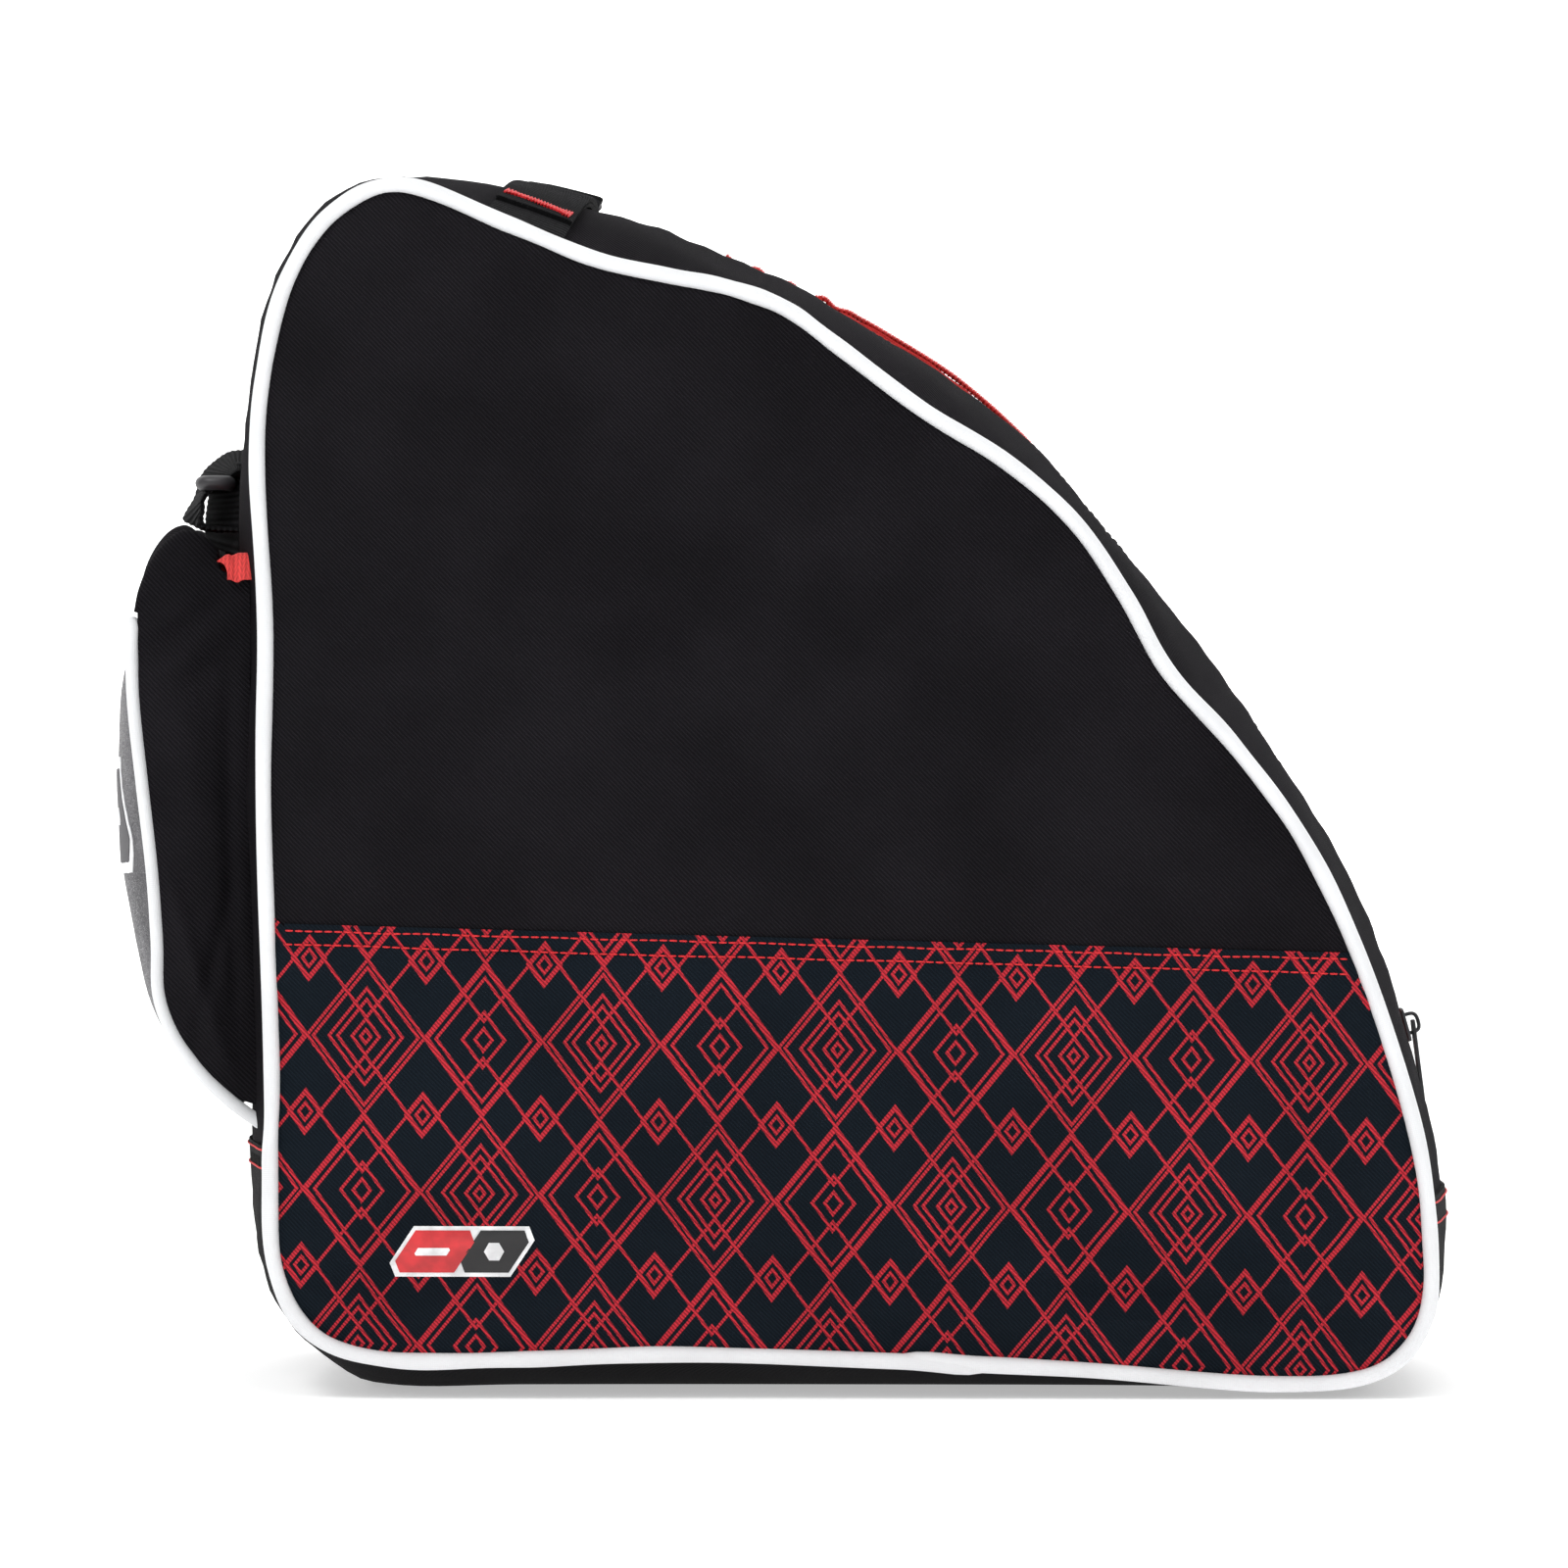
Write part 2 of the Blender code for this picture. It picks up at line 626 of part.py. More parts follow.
def make_top_band(looks):
    us = band_rows()
    ys = mirrored([0.0, 30.0, 55.0, 75.0, 90.0, 99.0])
    gusset_sheet("top_band", us, ys, -GAP - WEB, WEB, looks["web"])
    # the upper ply rises over the ring's bar
    low = 2 * GAP + WEB
    high = TOP_RING_HEIGHT + RING_R + 2 * GAP
    profile = [(LOOP_NEAR, low), (-65.0, low), (-45.0, low), (-25.0, low), (0.0, low)]
    profile += [(TOP_RING_Y - 6.5, low), (TOP_RING_Y - 2.8, high), (TOP_RING_Y + 2.8, high)]
    profile += [(TOP_RING_Y + 6.5, low), (LOOP_FAR, low)]
    outer = [[on_gusset(u, y, -height - WEB) for y, height in profile] for u in us]
    inner = [[on_gusset(u, y, -height) for y, height in profile] for u in us]
    thick_sheet("top_loop", outer, inner, looks["web"])

    middle = us[len(us) // 2]
    ahead = Vector(on_gusset(us[-1], 0.0)) - Vector(on_gusset(us[0], 0.0))
    _, normal, _, _ = station(middle)
    origin = on_gusset(middle, TOP_RING_Y, -TOP_RING_HEIGHT)
    place = local_frame(origin, ahead, (normal[0], 0.0, normal[1]))
    bar = [(x, 0.0, 0.0) for x in np.linspace(TOP_RING_HALF - 0.9, 0.9 - TOP_RING_HALF, 4)]
    bow = [
        (-TOP_RING_HALF * math.cos(a), TOP_RING_DEPTH * math.sin(a) ** 0.8, 0.0)
        for a in np.radians(np.linspace(7, 173, 15))
    ]
    ring = tube("top_ring", bar + bow, RING_R, looks["plastic"], closed=True)
    ring.matrix_world = place


# ---- front loop and its ring ----
def ribbon(name, profile, half_width, thickness, look):
    """A strap that follows a profile in x and z, its outer face on the left going down."""
    points = np.array(profile)
    ahead = np.gradient(points, axis=0)
    ahead /= np.linalg.norm(ahead, axis=1)[:, None]
    inward = np.column_stack([-ahead[:, 1], ahead[:, 0]])
    ys = (half_width, -half_width)
    outer = [[(x, y, z) for y in ys] for x, z in points]
    inner = [[(x, y, z) for y in ys] for x, z in points + inward * thickness]
    return thick_sheet(name, outer, inner, look)


def make_front_loop(looks):
    outer = spline_through(LOOP_OUTER, 2, closed=False)
    ribbon("front_loop_outer", outer, WEB_HALF, WEB, looks["web"])
    inner = spline_through(LOOP_INNER, 2, closed=False)
    ribbon("front_loop_inner", inner, WEB_HALF - 0.3, WEB, looks["web"])
    out_x, in_x = FRONT_RING_X
    round_off = 2.4
    corners = [(out_x, -1), (in_x, -1), (in_x, 1), (out_x, 1)]
    path = []
    for i, (x, side) in enumerate(corners):
        y = side * FRONT_RING_HALF
        before, after = corners[i - 1], corners[(i + 1) % 4]
        for other in (before, after):
            towards = Vector((other[0] - x, other[1] * FRONT_RING_HALF - y, 0)).normalized()
            path.append(Vector((x, y, 0)) + towards * round_off)
        path.insert(-1, Vector((x, y, 0)).lerp((path[-1] + path[-2]) / 2, 0.6))
    middle = out_x
    ring = tube("front_ring", [(p.x - middle, p.y, 0) for p in path], FRONT_RING_R, looks["plastic"], closed=True)
    ring.location = (middle * MM, 0, FRONT_RING_Z * MM)


# ---- front pocket ----
FACE_STEPS = 2


def face_profile():
    rows = spline_through(POCKET_FACE, FACE_STEPS, closed=False)
    ahead = np.gradient(rows[:, :2], axis=0)
    ahead /= np.linalg.norm(ahead, axis=1)[:, None]
    outward = np.column_stack([ahead[:, 1], -ahead[:, 0]])
    return rows, outward


def front_gusset_edge(y, low, high):
    """The front gusset's outer face at y, as x and z from low to high."""
    found = [on_gusset(u, y) for u in range(0, STEPS * 6)]
    return [(x, z) for x, _, z in found if low < z < high]


def lip_profile(v):
    """The lip's outer face at v of the pocket's half-width."""
    rows = []
    for k, (x, z) in enumerate(LIP):
        t = k / (len(LIP) - 1)
        puff = LIP_PUFF * math.sin(math.pi * t) * math.sin(math.pi * min(1.0, abs(v)) ** 0.8) ** 2
        rows.append((x - LIP_CROWN * (1 - v * v) * (1 - t) - 0.3 * puff, z + puff))
    return rows


def make_pocket(looks):
    rows, outward = face_profile()
    face_y = POCKET_HALF - POCKET_PIPING_R - GAP
    shares = (1.0, 0.8, 0.5, 0.0, -0.5, -0.8, -1.0)

    def on_face(row, normal, share, depth):
        rise = row[2] * (1 - abs(share) ** 2.2)
        x, z = row[:2] + normal * (rise - depth)
        return (x, share * face_y, z)

    outer = [[on_face(r, n, s, 0.0) for s in shares] for r, n in zip(rows, outward)]
    inner = [[on_face(r, n, s, FABRIC) for s in shares] for r, n in zip(rows, outward)]
    thick_sheet("pocket_face", outer, inner, looks["grey"])

    # the piping stands clear of the face's edge all the way, round its two top corners too
    off = POCKET_PIPING_R + GAP + 0.2
    side_run = [(x - 0.2, -face_y - off, z) for x, z in rows[::-1, :2] if z < rows[0][1] - 1]
    corner = [
        (rows[0][0], -face_y - off * math.cos(a), rows[0][1] + off * math.sin(a))
        for a in np.radians((0, 35, 70))
    ]
    crown = POCKET_FACE[0][2]
    shares = np.linspace(-0.9, 0.9, 9)
    top_z = rows[0][1] + off
    top_run = [(rows[0][0] - crown * (1 - abs(s) ** 2.2), s * face_y, top_z) for s in shares]
    near_run = side_run + corner
    far_run = [(x, -y, z) for x, y, z in near_run[::-1]]
    tube("pocket_piping", near_run + top_run + far_run, POCKET_PIPING_R, looks["white"], closed=False)

    end = lip_profile(1.0)
    front = [(x + POCKET_PIPING_R + GAP, z) for x, z in rows[:, :2] if z < end[0][1] - 1]
    back = [(x - 0.6, z) for x, z in front_gusset_edge(POCKET_HALF, 96.0, end[-1][1] - 3)]
    outline = front[::-1][1:] + end + back[::-1]
    outline = outline[::-1]
    for side, word in ((NEAR, "near"), (FAR, "far")):
        ys = sorted((side * (POCKET_HALF + 0.4), side * (POCKET_HALF + 0.4 + FABRIC)))
        prism("pocket_wall_" + word, outline, *ys, looks["black"])

    vs = [v / 10 for v in (10, 8.5, 6.5, 4.5, 2.2, 0, -2.2, -4.5, -6.5, -8.5, -10)]
    lips = [lip_profile(v) for v in vs]
    outer, inner = [], []
    for k in range(len(LIP)):
        outer.append([(lip[k][0], v * (POCKET_HALF - 0.3), lip[k][1]) for lip, v in zip(lips, vs)])
        ahead = np.array(lips[0][min(k + 1, len(LIP) - 1)]) - np.array(lips[0][max(k - 1, 0)])
        inward = np.array([ahead[1], -ahead[0]]) / np.linalg.norm(ahead) * FABRIC
        inner.append([(x + inward[0], y, z + inward[1]) for x, y, z in outer[-1]])
    outer = [row[::-1] for row in outer]
    inner = [row[::-1] for row in inner]
    lip_piece = thick_sheet("pocket_lip", outer, inner, looks["black"])

    zip_x, zip_z = POCKET_ZIP_X, POCKET_ZIP_Z
    half = POCKET_ZIP_HALF
    inner_edge = POCKET_TAPE_INNER
    low, high = (zip_x - 5.6, -half, zip_z - 0.8), (zip_x - inner_edge, half, zip_z)
    tape = box("pocket_tape_front", low, high, looks["red"])
    coil_z = (zip_z + 0.4, zip_z + 1.7)
    coil_end = half - 12.5
    low, high = (zip_x - 2.8, -half, coil_z[0]), (zip_x - inner_edge, coil_end, coil_z[1])
    coil = box("pocket_coil_front", low, high, looks["red"])
    hang_on("hinge_pocket_lip", LIP_AXIS, lip_piece, tape, coil)
    box("pocket_coil_back", (zip_x + inner_edge, -half, coil_z[0]), (zip_x + 2.8, coil_end, coil_z[1]), looks["red"])
    tape_y = [half * k / 6 for k in range(-6, 7)]
    us = np.arange(0, STEPS * 6)
    back = []
    for y in tape_y:
        edge = np.array([on_gusset(u, y) for u in us])
        back.append(float(np.interp(zip_z, edge[:, 2], edge[:, 0])) - 0.6)
    outer = [[(x, y, zip_z) for y in tape_y] for x in (0, 1)]
    for column, x in enumerate(back):
        outer[0][column] = (zip_x + inner_edge, tape_y[column], zip_z)
        outer[1][column] = (x, tape_y[column], zip_z)
    inner = [[(x, y, z - 0.8) for x, y, z in row] for row in outer]
    thick_sheet("pocket_tape_back", outer, inner, looks["red"])
    turn = Matrix(((0, -1, 0, 0), (1, 0, 0, 0), (0, 0, 1, 0), (0, 0, 0, 1)))
    place = Matrix.Translation((zip_x * MM, (half - 6.0) * MM, zip_z * MM)) @ turn
    _, pivot = make_slider("pocket_slider", place, looks, top=2.1, foot=-1.3, half_y=POCKET_SLIDER_HALF_Y)
    flip = Matrix.Rotation(math.pi, 4, "Z")
    make_puller("pocket_puller", place @ Matrix.Translation((0, 0, pivot * MM)) @ flip, looks)


def main():
    clear_scene()
    looks = make_looks()
    make_sides(looks)
    make_gusset(looks)
    make_main_zip(looks)
    make_top_band(looks)
    make_front_loop(looks)
    make_pocket(looks)
    bpy.context.view_layer.update()


main()
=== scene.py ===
"""Skate bag, the looks: fabric shells, printed panels, piping, zips, webbing and rings.

Points and sizes are in millimetres in the row's frame until the mesh makers scale them to metres.
The frame: +X towards the heel, +Y away from the near side, +Z up, origin in the middle of the base.
"""

import json
import math

import bpy
import numpy as np
from mathutils import Matrix, Vector
from mathutils.geometry import delaunay_2d_cdt


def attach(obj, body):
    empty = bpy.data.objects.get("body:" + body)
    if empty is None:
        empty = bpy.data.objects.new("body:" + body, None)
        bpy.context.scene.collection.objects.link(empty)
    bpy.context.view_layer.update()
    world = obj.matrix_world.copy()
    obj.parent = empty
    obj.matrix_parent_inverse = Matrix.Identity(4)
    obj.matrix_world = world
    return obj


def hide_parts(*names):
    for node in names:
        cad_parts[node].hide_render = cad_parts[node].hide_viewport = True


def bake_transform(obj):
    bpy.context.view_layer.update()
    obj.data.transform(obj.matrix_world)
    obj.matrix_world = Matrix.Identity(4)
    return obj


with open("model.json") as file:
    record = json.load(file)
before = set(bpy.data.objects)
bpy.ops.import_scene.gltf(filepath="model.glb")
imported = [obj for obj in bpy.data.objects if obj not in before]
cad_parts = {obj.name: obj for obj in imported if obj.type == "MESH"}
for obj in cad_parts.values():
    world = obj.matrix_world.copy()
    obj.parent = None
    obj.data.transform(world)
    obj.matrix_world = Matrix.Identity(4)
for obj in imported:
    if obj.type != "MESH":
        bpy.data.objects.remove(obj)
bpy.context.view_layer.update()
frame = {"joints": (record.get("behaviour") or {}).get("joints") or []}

MM = 0.001
NEAR, FAR = -1, 1
SIDES = ((NEAR, "near"), (FAR, "far"))

# ---- the bag's form, as in the CAD: x, z, bulge of the gusset and boxiness of its section ----
SEAM = np.array([
    (-175.5, 70, 10.8, 2.4), (-175, 100, 12.5, 2.5), (-177.5, 180, 13.0, 2.5), (-177, 235, 13.4, 2.5),
    (-179.5, 285, 11.0, 2.5), (-177, 315, 10.0, 2.5), (-170, 341, 10.0, 2.5), (-156, 361, 10.2, 2.5),
    (-135, 369, 9.2, 2.5), (-103, 357, 17.0, 2.5), (-77, 346.5, 20.6, 2.5), (-55, 341.5, 18.6, 2.5),
    (-37, 338, 14.3, 2.5), (-19, 331.5, 12.8, 2.5), (-3, 320, 16.3, 2.5), (23, 300.5, 19.2, 2.5),
    (48, 285, 15.4, 2.5), (69, 266.5, 11.2, 2.5), (84.5, 244, 13.4, 2.5), (97.5, 221, 18.0, 2.5),
    (118, 198, 14.3, 2.5), (139, 169, 11.8, 2.5), (156.5, 132, 12.4, 2.5), (172, 84, 11.2, 2.5),
    (177, 50, 10.6, 2.5), (175.5, 24, 7.0, 2.8), (161, 8, 5.8, 6.5), (129, 4.5, 4.5, 8.0),
    (72, 8.8, 8.8, 8.0), (14, 11.5, 11.5, 8.0), (-52, 13.5, 13.5, 8.0), (-100, 12, 12.0, 8.0),
    (-140, 12, 12.0, 8.0), (-163, 20, 6.4, 3.6), (-174, 40, 8.2, 2.6),
], float)  # fmt: skip
SPANS = len(SEAM)
SEAM_Y = 105.0
GUSSET_Y = 101.85
EDGE_Y = 103.4  # the fabric's edge, tucked behind the piping
FLAT_BASE_V = 0.28
PIPING_R = 2.45
RIB = 1.9  # between the ribs of the webbing
FABRIC = 1.2
BASE_FRONT_U, BASE_HEEL_U = 0.24, 23.66  # where the reinforced base's two hems lie, in stations
HEM = ((-175.0, 144.6), (150.0, 135.7))  # the printed panel's top edge

ZIP_TOP_X = -44.0
ZIP_LENGTH = 356.0
TOP_STUB, HEEL_STUB = 24.0, 26.0
FLAP_FROM, FLAP_TO = TOP_STUB, ZIP_LENGTH - HEEL_STUB
COIL_PITCH = 1.55
ZIP_WINDOW = 6.5
SLIDER_AT = 14.0
COIL_FROM, COIL_TO = 7.0, ZIP_LENGTH - 22.0

POCKET_HALF = 72.0
POCKET_FACE = np.array([
    (-220.3, 234, 5.0), (-219.6, 212, 9.5), (-216.8, 186, 13.0), (-213.8, 160, 14.5), (-212.3, 138, 12.0),
    (-211.8, 122, 8.5), (-207, 109, 6.5), (-198.5, 97.5, 6.0), (-189, 88.5, 6.0),
], float)  # fmt: skip
POCKET_PIPING_R = 2.0
LIP = np.array([  # in the middle
    (-219.8, 240.0), (-219.9, 247.0), (-217.4, 255.0), (-212.9, 261.0), (-208.0, 263.2), (-203.4, 261.4),
    (-200.6, 258.2),
], float)  # fmt: skip
LIP_END = np.array([  # over the shoulders
    (-219.8, 240.0), (-218.6, 247.0), (-216.0, 254.0), (-212.6, 259.4), (-208.8, 263.2), (-204.8, 265.4),
    (-200.8, 264.8),
], float)  # fmt: skip
SHOULDER_BACK = np.array([(-200.8, 264.8), (-196.6, 262.2), (-193.8, 258.8), (-193.4, 255.0), (-191.6, 251.4),
                          (-186.0, 251.6)], float)  # fmt: skip
POCKET_ZIP_X, POCKET_ZIP_Z, POCKET_ZIP_HALF = -196.2, 255.4, 66.0


# ---- curves and the shell ----
def catmull(table, u, closed):
    """Values and slopes of a Catmull-Rom curve through the rows of a table, at an array of stations u."""
    table, u = np.asarray(table, float), np.asarray(u, float)
    last = len(table) - 1
    i = np.floor(u).astype(int)
    if not closed:
        i = np.clip(i, 0, last - 1)
    t = (u - i)[..., None]
    if closed:
        a, b, c, d = (table[(i + k) % len(table)] for k in (-1, 0, 1, 2))
    else:
        b, c = table[i], table[i + 1]
        a = np.where((i > 0)[..., None], table[np.maximum(i - 1, 0)], 2 * b - c)
        d = np.where((i < last - 1)[..., None], table[np.minimum(i + 2, last)], 2 * c - b)
    p, q, r = c - a, 2 * a - 5 * b + 4 * c - d, 3 * b - a - 3 * c + d
    return 0.5 * (2 * b + p * t + q * t**2 + r * t**3), 0.5 * (p + 2 * q * t + 3 * r * t**2)


def unit(vectors):
    return vectors / np.linalg.norm(vectors, axis=-1, keepdims=True)


def run_along(path):
    """Length along a path at each of its points."""
    return np.concatenate([[0], np.cumsum(np.linalg.norm(np.diff(path, axis=0), axis=1))])


def smoothstep(t):
    t = np.clip(t, 0, 1)
    return t * t * (3 - 2 * t)


def seam(u):
    """Seam point and outward normal in x and z, bulge and boxiness at stations u."""
    row, slope = catmull(SEAM, u, closed=True)
    return row[..., :2], unit(np.stack([-slope[..., 1], slope[..., 0]], -1)), row[..., 2], row[..., 3]


def shell(u, y, lift=0.0):
    """Points of the gusset's outer face, lift above it."""
    u, y = np.broadcast_arrays(np.asarray(u, float), np.asarray(y, float))
    place, normal, bulge, power = seam(u)
    v = np.minimum(np.abs(y) / GUSSET_Y, 1.02)
    flat = smoothstep((power - 5) / 3)
    round_share = 1 - v**power
    flat_share = 1 - np.clip((v - FLAT_BASE_V) / (1 - FLAT_BASE_V), 0, 1.05) ** 2.6
    share = (1 - flat) * round_share + flat * flat_share
    point = place + normal * (bulge * share)[..., None]
    on_ground = flat * np.clip(share, 0, 1) ** 10
    height = point[..., 1] * (1 - on_ground)
    x, z = point[..., 0] + normal[..., 0] * lift, height + normal[..., 1] * lift
    return np.stack([x, y + np.zeros_like(x), z], -1)


FINE_U = np.linspace(0, SPANS, SPANS * 24 + 1)
CROWN = shell(FINE_U, 0.0)
CROWN_LENGTH = run_along(CROWN)
ON_TOP = (FINE_U >= 8) & (FINE_U <= 20)


def u_at_x(x):
    return float(np.interp(x, CROWN[ON_TOP, 0], FINE_U[ON_TOP]))


def length_at(u):
    return np.interp(u, FINE_U, CROWN_LENGTH)


ZIP_START = float(length_at(u_at_x(ZIP_TOP_X)))


def u_along(length):
    """Station at a length along the zip."""
    return np.interp(ZIP_START + np.asarray(length, float), CROWN_LENGTH, FINE_U)


# the flaps' hinge, as in the CAD: down the slope, a little over the highest part of the seams
JOINTS = {joint["name"]: joint for joint in frame["joints"]}
HINGE_AT = np.array(JOINTS["flap_near_open"]["pos_m"]) / MM
SLOPE = np.array(JOINTS["flap_near_open"]["axis"]) / np.linalg.norm(JOINTS["flap_near_open"]["axis"])


WAVES = 8  # sines in one patch of noise


def waves(x, y, seed, size, angle=0.0, spread=math.pi):
    """Smooth noise of about unit height: sines of wavelength round size, in directions round angle."""
    draw = np.random.default_rng(seed)
    total = 0.0
    for _ in range(WAVES):
        a = angle + spread * (draw.random() - 0.5)
        k = 2 * math.pi / (size * (0.6 + draw.random()))
        total = total + np.sin(k * (x * math.cos(a) + y * math.sin(a)) + draw.random() * 2 * math.pi)
    return total / math.sqrt(WAVES)


# ---- mesh makers ----
def new_object(name, points, faces, look, cloth=None, angle=42):
    mesh = bpy.data.meshes.new(name)
    mesh.from_pydata((np.asarray(points, float) * MM).tolist(), [], faces)
    mesh.validate()
    made = bpy.data.objects.new(name, mesh)
    bpy.context.scene.collection.objects.link(made)
    mesh.materials.append(look)
    if cloth is not None:
        layer = mesh.attributes.new("cloth", "FLOAT_VECTOR", "POINT")
        spread = np.zeros((len(mesh.vertices), 3), np.float32)
        spread[:, : cloth.shape[-1]] = cloth.reshape(-1, cloth.shape[-1])
        layer.data.foreach_set("vector", spread.reshape(-1))
    mesh.shade_smooth()
    mesh.set_sharp_from_angle(angle=math.radians(angle))
    return made


def open_edges(faces):
    """Edges that only one face has, in order."""
    edges = {(a, b) for face in faces for a, b in zip(face, face[1:] + face[:1])}
    return [edge for edge in sorted(edges) if edge[::-1] not in edges]


def rim(faces, count):
    """Quads from the open edges of faces to the same edges count points later."""
    return [[b, a, a + count, b + count] for a, b in open_edges(faces)]


def grid_normals(grid):
    """Unit normals of a grid of points, on the side where columns turn left from rows."""
    normal = np.cross(np.gradient(grid, axis=0), np.gradient(grid, axis=1))
    return normal / np.maximum(np.linalg.norm(normal, axis=-1, keepdims=True), 1e-9)


def sheet_object(name, grid, thickness, look, cloth, keep=None, normals=None):
    """A closed sheet under a grid of points. With normals it takes its shading from them."""
    rows, columns = grid.shape[:2]
    surface = grid_normals(grid) if normals is None else normals
    inner = grid - surface * thickness
    count = rows * columns
    kept = np.ones((rows - 1, columns - 1), bool) if keep is None else keep
    i, j = np.nonzero(kept)
    corner = i * columns + j
    quads = np.stack([corner, corner + columns, corner + columns + 1, corner + 1], 1)
    used = np.unique(quads)
    used = np.concatenate([used, used + count])
    index = np.full(2 * count, -1)
    index[used] = np.arange(len(used))
    faces = index[np.concatenate([quads, quads[:, ::-1] + count])].tolist()
    faces += index[np.array(sorted(rim(quads.tolist(), count)))].tolist()
    points = np.concatenate([grid.reshape(-1, 3), inner.reshape(-1, 3)])[used]
    spread = np.concatenate([cloth.reshape(count, -1)] * 2)[used]
    made = new_object(name, points, faces, look, spread)
    if normals is not None:
        flat = np.concatenate([surface.reshape(-1, 3), -surface.reshape(-1, 3)])[used]
        per_loop = []
        for number, polygon in enumerate(made.data.polygons):
            if number < 2 * len(quads):
                per_loop += [flat[v].tolist() for v in polygon.vertices]
            else:
                per_loop += [tuple(polygon.normal)] * len(polygon.vertices)
        made.data.normals_split_custom_set(per_loop)
    return made


def tube_object(name, path, radius, look, closed=False, sides=14):
    """A round tube through points, as a mesh. radius may vary along it."""
    path = np.asarray(path, float)
    count = len(path)
    radius = np.broadcast_to(np.asarray(radius, float), (count,))
    if closed:
        ahead = np.roll(path, -1, axis=0) - np.roll(path, 1, axis=0)
    else:
        ahead = np.gradient(path, axis=0)
    ahead = unit(ahead)
    up = np.zeros(3)
    up[np.argmin(np.abs(ahead[0]))] = 1.0
    frames = []
    for direction in ahead:
        up = up - direction * (up @ direction)
        up /= np.linalg.norm(up)
        frames.append((up, np.cross(direction, up)))
    turn = 0.0
    if closed:  # close the frame's leftover twist evenly
        end = frames[-1][0] - ahead[0] * (frames[-1][0] @ ahead[0])
        turn = math.atan2(end @ frames[0][1], end @ frames[0][0])
    points = []
    for k, (a, b) in enumerate(frames):
        for s in range(sides):
            angle = 2 * math.pi * s / sides - turn * k / count
            points.append(path[k] + radius[k] * (math.cos(angle) * a + math.sin(angle) * b))
    faces = []
    for k in range(count if closed else count - 1):
        m = (k + 1) % count
        for s in range(sides):
            t = (s + 1) % sides
            faces.append([k * sides + s, k * sides + t, m * sides + t, m * sides + s])
    if not closed:
        faces.append(list(range(sides))[::-1])
        faces.append([(count - 1) * sides + s for s in range(sides)])
    around = 2 * math.pi * np.arange(sides) / sides
    cloth = np.array([(length, r * a) for length, r in zip(run_along(path), radius) for a in around])
    return new_object(name, points, faces, look, cloth, angle=60)


BEAD = [(-1.0, 0.35), (-0.75, 0.85), (0.0, 1.0), (0.75, 0.85), (1.0, 0.35)]


def stitches(name, path, outward, look, pitch, length, radius):
    """A row of sewn stitches along a path, each a bead that dips into the cloth at its ends."""
    path, outward = np.asarray(path, float), np.asarray(outward, float)
    along = run_along(path)
    total = max(1, int(along[-1] / pitch))
    points, faces = [], []
    sides, sink = 6, 0.05

    def read(values, at):
        return np.array([np.interp(at, along, values[:, c]) for c in range(3)])

    for k in range(total):
        middle = (k + 0.5) * along[-1] / total
        for t, share in BEAD:
            at = np.clip(middle + t * length / 2, 0, along[-1])
            place, normal = read(path, at), read(outward, at)
            ahead = read(path, min(at + 0.5, along[-1])) - place
            if np.linalg.norm(ahead) < 1e-6:
                ahead = path[-1] - path[-2]
            across, normal = unit(np.cross(normal, ahead)), unit(normal)
            centre = place + normal * (radius * (share - 1.0) + radius - sink)
            for s in range(sides):
                a = 2 * math.pi * s / sides
                points.append(centre + radius * share * (math.cos(a) * across + math.sin(a) * normal))
        first = k * len(BEAD) * sides
        for ring in range(len(BEAD) - 1):
            for s in range(sides):
                t = (s + 1) % sides
                a = first + ring * sides
                faces.append([a + s, a + t, a + sides + t, a + sides + s])
        faces.append([first + s for s in range(sides)][::-1])
        faces.append([first + (len(BEAD) - 1) * sides + s for s in range(sides)])
    return new_object(name, points, faces, look, np.array([(0.0, 0.0)] * len(points)), angle=80)


def bevel(made, width, segments=3):
    rounding = made.modifiers.new("Bevel", "BEVEL")
    rounding.width, rounding.segments, rounding.limit_method = width * MM, segments, "ANGLE"
    return made


def box_object(name, low, high, look, width):
    """A block with rounded edges, in millimetres."""
    corners = [(x, y, z) for x in (low[0], high[0]) for y in (low[1], high[1]) for z in (low[2], high[2])]
    faces = [[0, 1, 3, 2], [4, 6, 7, 5], [0, 4, 5, 1], [2, 3, 7, 6], [0, 2, 6, 4], [1, 5, 7, 3]]
    return bevel(new_object(name, corners, faces, look), width)


def joined(name, pieces):
    """The pieces as one object, which keeps the first one's materials and adds the others'."""
    for piece in pieces:
        if piece.modifiers:
            graph = bpy.context.evaluated_depsgraph_get()
            mesh = bpy.data.meshes.new_from_object(piece.evaluated_get(graph))
            piece.modifiers.clear()
            piece.data = mesh
    first = pieces[0]
    with bpy.context.temp_override(active_object=first, selected_editable_objects=pieces, object=first):
        bpy.ops.object.join()
    first.name = name
    return first


def finish_piece(piece, body, slot, *nodes):
    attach(piece, body)
    if nodes:
        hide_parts(*nodes)
    return piece


